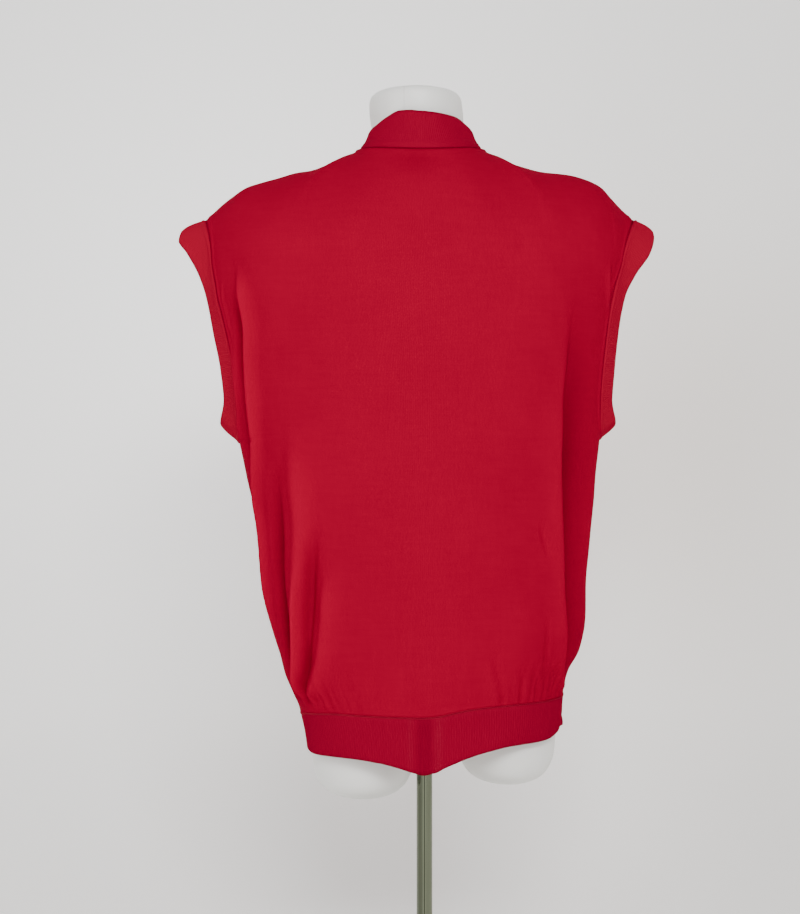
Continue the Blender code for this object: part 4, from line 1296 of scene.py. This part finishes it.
def link_stitches(node, line, looks, knit, rise, yarn="link_yarn"):
    """The chain of linking stitches that shows along a line, a little above or below it."""
    looks = unit(looks)
    along = unit(np.gradient(line, axis=0))
    name = "linking_" + node
    mesh = bpy.data.meshes.new(name)
    edges = np.stack([np.arange(len(line) - 1), np.arange(1, len(line))], axis=1)
    mesh.from_pydata((line + looks * rise).tolist(), edges.tolist(), [])
    for key, values in (("looks", looks), ("along", along)):
        layer = mesh.attributes.new(key, "FLOAT_VECTOR", "POINT")
        layer.data.foreach_set("vector", values.reshape(-1).astype(np.float32))
    made = add_object(name, mesh)
    stitcher = made.modifiers.new("stitches", "NODES")
    stitcher.node_group = stitch_group()
    given = {"Pitch": knit.link_pitch, "Yarn": knit.yarn, "Surface": bpy.data.materials[yarn]}
    for socket in stitcher.node_group.interface.items_tree:
        if socket.name in given:
            stitcher[socket.identifier] = given[socket.name]
    apply_modifiers(made)
    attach(made, "root")
    return made


# The form and its stand


def stump_point(stump, sphere_point):
    """Point of a stump that belongs to a point of the unit sphere: squarer than a ball."""
    across, along, up = sphere_point
    level = hypot(across, along)
    fuller = level ** (STUMP_POWER - 1) if level > 0 else 0.0
    size = Vector((stump.half_width, stump.half_depth, STUMP_HALF_HEIGHT))
    place = Vector((stump.middle, 0, stump.lowest + STUMP_HALF_HEIGHT))
    squarer = Vector((across * fuller, along * fuller, copysign(abs(up) ** STUMP_POWER, up)))
    return squarer * size + place


def make_form(surface):
    """The smooth torso with its two thigh stumps."""
    turns = np.linspace(0, 2 * pi, FORM_TURNS, endpoint=False)
    heights = np.unique(np.concatenate([np.linspace(*levels) for levels in FORM_LEVELS]))
    left, right, back, front = FORM.read(heights, "left", "right", "back", "front")
    middle, half = (left - right) / 2, (left + right) / 2
    facing = np.cos(turns)[None, :]
    depth = np.where(facing > 0, back[:, None], front[:, None])
    x = middle[:, None] + half[:, None] * np.sin(turns)[None, :]
    grid = points(x, depth * facing, heights[:, None])
    mesh = bpy.data.meshes.new("form_body_smooth")
    shape = bmesh.new()
    rings = [[shape.verts.new(point) for point in ring] for ring in grid.tolist()]
    for low, high in zip(rings, rings[1:]):
        for k in range(FORM_TURNS):
            after = (k + 1) % FORM_TURNS
            shape.faces.new((low[after], low[k], high[k], high[after]))
    shape.faces.new(rings[0])
    shape.faces.new(list(reversed(rings[-1])))
    shape.to_mesh(mesh)
    shape.free()
    made = add_object(mesh.name, mesh)
    balls = []
    for stump in STUMPS:
        segments, rings = BALL_PARTS
        bpy.ops.mesh.primitive_uv_sphere_add(segments=segments, ring_count=rings, radius=1)
        ball = bpy.context.object
        for vertex in ball.data.vertices:
            vertex.co = stump_point(stump, vertex.co)
        join = made.modifiers.new("stump", "BOOLEAN")
        join.operation = "UNION"
        join.object = ball
        balls.append(ball)
    apply_modifiers(made)
    for ball in balls:
        bpy.data.objects.remove(ball, do_unlink=True)
    made.data.materials.clear()
    made.data.materials.append(surface)
    made.data.shade_smooth()
    made.data.set_sharp_from_angle(angle=SHARP_ANGLE)
    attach(made, "root")
    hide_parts("form_body")


# Operators


class KNIT_OT_panels(bpy.types.Operator):
    """Knit the back and the front"""

    bl_idname = "knitwear.panels"
    bl_label = "Back and front"

    def execute(self, context):
        knit, colours = context.scene.knit, context.scene.knit_colours
        surface = jersey_material("red_jersey", colours.jersey)
        make_panel("back_panel", "back", knit, surface)
        make_panel("front_panel", "front", knit, surface)
        return {"FINISHED"}


class KNIT_OT_hem(bpy.types.Operator):
    """Knit the two hem ribs"""

    bl_idname = "knitwear.hem"
    bl_label = "Hem ribs"

    def execute(self, context):
        knit, colours = context.scene.knit, context.scene.knit_colours
        link_material("link_yarn", colours.rib)
        link_material("pale_yarn", colours.link)
        surface = rib_material("red_hem_rib", colours.rib, by_pole=True)
        make_hem_rib("hem_rib_back", "back", knit, surface)
        make_hem_rib("hem_rib_front", "front", knit, surface)
        return {"FINISHED"}


class KNIT_OT_bands(bpy.types.Operator):
    """Knit the armhole bands and the neckband"""

    bl_idname = "knitwear.bands"
    bl_label = "Bands"

    def execute(self, context):
        knit, colours = context.scene.knit, context.scene.knit_colours
        surface = rib_material("red_band_rib", colours.band)
        make_armhole_band("armhole_band_left", 1, knit, surface)
        make_armhole_band("armhole_band_right", -1, knit, surface)
        make_neckband("neckband", knit, rib_material("red_neck_rib", shade(colours.rib, 1.06)))
        return {"FINISHED"}


class KNIT_OT_form(bpy.types.Operator):
    """Mould the dress form and finish its stand"""

    bl_idname = "knitwear.form"
    bl_label = "Form and stand"

    def execute(self, context):
        colours = context.scene.knit_colours
        make_form(plastic_material("form_plastic", colours))
        turned = (0.05, 0.05, 1)
        hub, base = shade(colours.steel, 1.3), shade(colours.steel, 1.5)
        finishes = {
            "pole": steel_material("pole_steel", colours.steel, 0.16, (1, 1, 0.02), POLE_BANDS),
            "pole_hub": steel_material("hub_steel", hub, 0.3, turned),
            "base_plate": steel_material("base_steel", base, 0.36, turned),
        }
        for node, surface in finishes.items():
            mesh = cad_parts[node].data
            mesh.materials.clear()
            mesh.materials.append(surface)
        return {"FINISHED"}


class KNIT_OT_studio(bpy.types.Operator):
    """Set up the floor, backdrop, soft lights and camera"""

    bl_idname = "knitwear.studio"
    bl_label = "Studio"

    def execute(self, context):
        studio, colours = context.scene.knit_studio, context.scene.knit_colours
        make_backdrop(colours, studio.glow)
        make_lights(studio)
        make_camera(studio)
        return {"FINISHED"}


WALL = -0.62           # its place behind the form
BEND = 0.30            # radius of the curve between floor and wall
ROOM = (4.0, 3.2, 3.5)  # length of the floor, height of the wall, half the width
WALL_LIT = ((0.25, 0.62), (0.95, 0.62))     # the painted pool of light: middle and half width, across and up
WALL_DIM = ((-0.43, 0.28), (0.72, 0.40))    # the painted warm shade beside it
# the backdrop glows with painted light: its plain and lit glow colours, then its colour in the
# painted shade
WALL_GLOW_COLOURS = ((0.50, 0.47, 0.445), (1.42, 1.42, 1.42))
WALL_SHADE_GLOW_COLOUR = (0.42, 0.30, 0.20)


def make_backdrop(colours, glow):
    """Floor and wall in one sweep behind the form, which can be seen through from outside, glowing
    with painted light, a painted pool of light and a painted shade.
    """
    length, height, half_width = ROOM
    profile = [(length, 0.0)]
    for angle in np.linspace(0, pi / 2, 24):
        profile.append((WALL + BEND - BEND * sin(angle), BEND - BEND * cos(angle)))
    profile.append((WALL, height))
    verts = [(x, y, z) for y, z in profile for x in (-half_width, half_width)]
    faces = [(2 * k, 2 * k + 2, 2 * k + 3, 2 * k + 1) for k in range(len(profile) - 1)]
    mesh = bpy.data.meshes.new("backdrop")
    mesh.from_pydata(verts, [], faces)
    mesh.shade_smooth()
    made = add_object(mesh.name, mesh)
    shader = Shader("paper", Roughness=0.95, Specular_IOR_Level=0.1, Emission_Strength=glow)
    cloud = shader.noise(shader.place(), CLOUD_SCALE)
    base = shader.mix(cloud, shade(colours.paper, 0.985), shade(colours.paper, 1.015))
    x, _, z = coordinates(shader)
    (lit_x, lit_z), (dim_x, dim_z) = WALL_LIT, WALL_DIM
    # painted pool of light and painted shade in the backdrop's glow
    lit = hump(x, *lit_x) * hump(z, *lit_z)
    glowing = shader.mix(lit, *WALL_GLOW_COLOURS)
    dim = hump(x, *dim_x) * hump(z, *dim_z)
    glowing = shader.mix(dim * 0.75, glowing, WALL_SHADE_GLOW_COLOUR)
    shader.feed(shader.principled, {"Base Color": base, "Emission Color": glowing})
    behind = shader.node("NewGeometry").outputs["Backfacing"]
    clear = shader.node("BsdfTransparent").outputs[0]
    seen = shader.node("MixShader", values=(behind, shader.principled.outputs[0], clear))
    shader.feed(shader.tree.nodes["Material Output"], (seen.outputs[0],))
    mesh.materials.append(shader.material)


# Rectangular soft lights: place, the point that they look at, width and height, colour
SoftBox = namedtuple("SoftBox", "place target size colour")
SOFT_BOXES = {
    "key": SoftBox((-0.35, 2.6, 2.2), (0, 0, 0.75), (1.3, 0.8), (1, 1, 1)),
    "side": SoftBox((2.1, 1.7, 1.3), (0, 0, 0.75), (0.6, 0.9), (1, 1, 1)),
    "fill": SoftBox((-1.9, 2.0, 1.2), (0, 0, 0.7), (1.4, 1.6), (1, 0.985, 0.95)),
}


def make_lights(studio):
    """A broad main soft box over the camera, a side light, a weak fill and the sky."""
    for name, box in SOFT_BOXES.items():
        lamp = bpy.data.lights.new(name, "AREA")
        lamp.shape = "RECTANGLE"
        lamp.size, lamp.size_y = box.size
        lamp.energy = getattr(studio, name)
        lamp.color = box.colour
        made = add_object(name, lamp)
        made.location = box.place
        aim = Vector(box.target) - Vector(box.place)
        made.rotation_euler = aim.to_track_quat("-Z", "Y").to_euler()
    world = bpy.data.worlds.new("surround")
    world.use_nodes = True
    surround = world.node_tree.nodes["Background"]
    surround.inputs["Color"].default_value = (1, 1, 1, 1)
    surround.inputs["Strength"].default_value = studio.sky
    bpy.context.scene.world = world


def make_camera(studio):
    lens = bpy.data.cameras.new("camera")
    lens.lens = studio.lens
    lens.sensor_width = 36
    lens.clip_end = 50
    made = add_object("camera", lens)
    made.location = (studio.aside, studio.distance, studio.height)
    made.rotation_euler = Vector((0, -1, 0)).to_track_quat("-Z", "Y").to_euler()
    bpy.context.scene.camera = made


class KNIT_PT_panel(bpy.types.Panel):
    """Lists the steps and their sizes"""

    bl_label = "Knitted vest"
    bl_space_type = "VIEW_3D"
    bl_region_type = "UI"
    bl_category = "Knitwear"

    def draw(self, context):
        scene = context.scene
        for group in (scene.knit, scene.knit_colours, scene.knit_studio):
            box = self.layout.box()
            for name in group.bl_rna.properties.keys():
                if name not in ("rna_type", "name"):
                    box.prop(group, name)
        for step in STEPS:
            self.layout.operator(step.bl_idname)


STEPS = (KNIT_OT_studio, KNIT_OT_panels, KNIT_OT_hem, KNIT_OT_bands, KNIT_OT_form)
CLASSES = (KnitSettings, ColourSettings, StudioSettings, *STEPS, KNIT_PT_panel)


def register():
    for thing in CLASSES:
        bpy.utils.register_class(thing)
    bpy.types.Scene.knit = PointerProperty(type=KnitSettings)
    bpy.types.Scene.knit_colours = PointerProperty(type=ColourSettings)
    bpy.types.Scene.knit_studio = PointerProperty(type=StudioSettings)


def unregister():
    for name in ("knit", "knit_colours", "knit_studio"):
        delattr(bpy.types.Scene, name)
    for thing in reversed(CLASSES):
        bpy.utils.unregister_class(thing)


def main():
    """Run every step in order."""
    register()
    for step in STEPS:
        group, name = step.bl_idname.split(".")
        getattr(getattr(bpy.ops, group), name)()


if __name__ == "__main__":
    main()
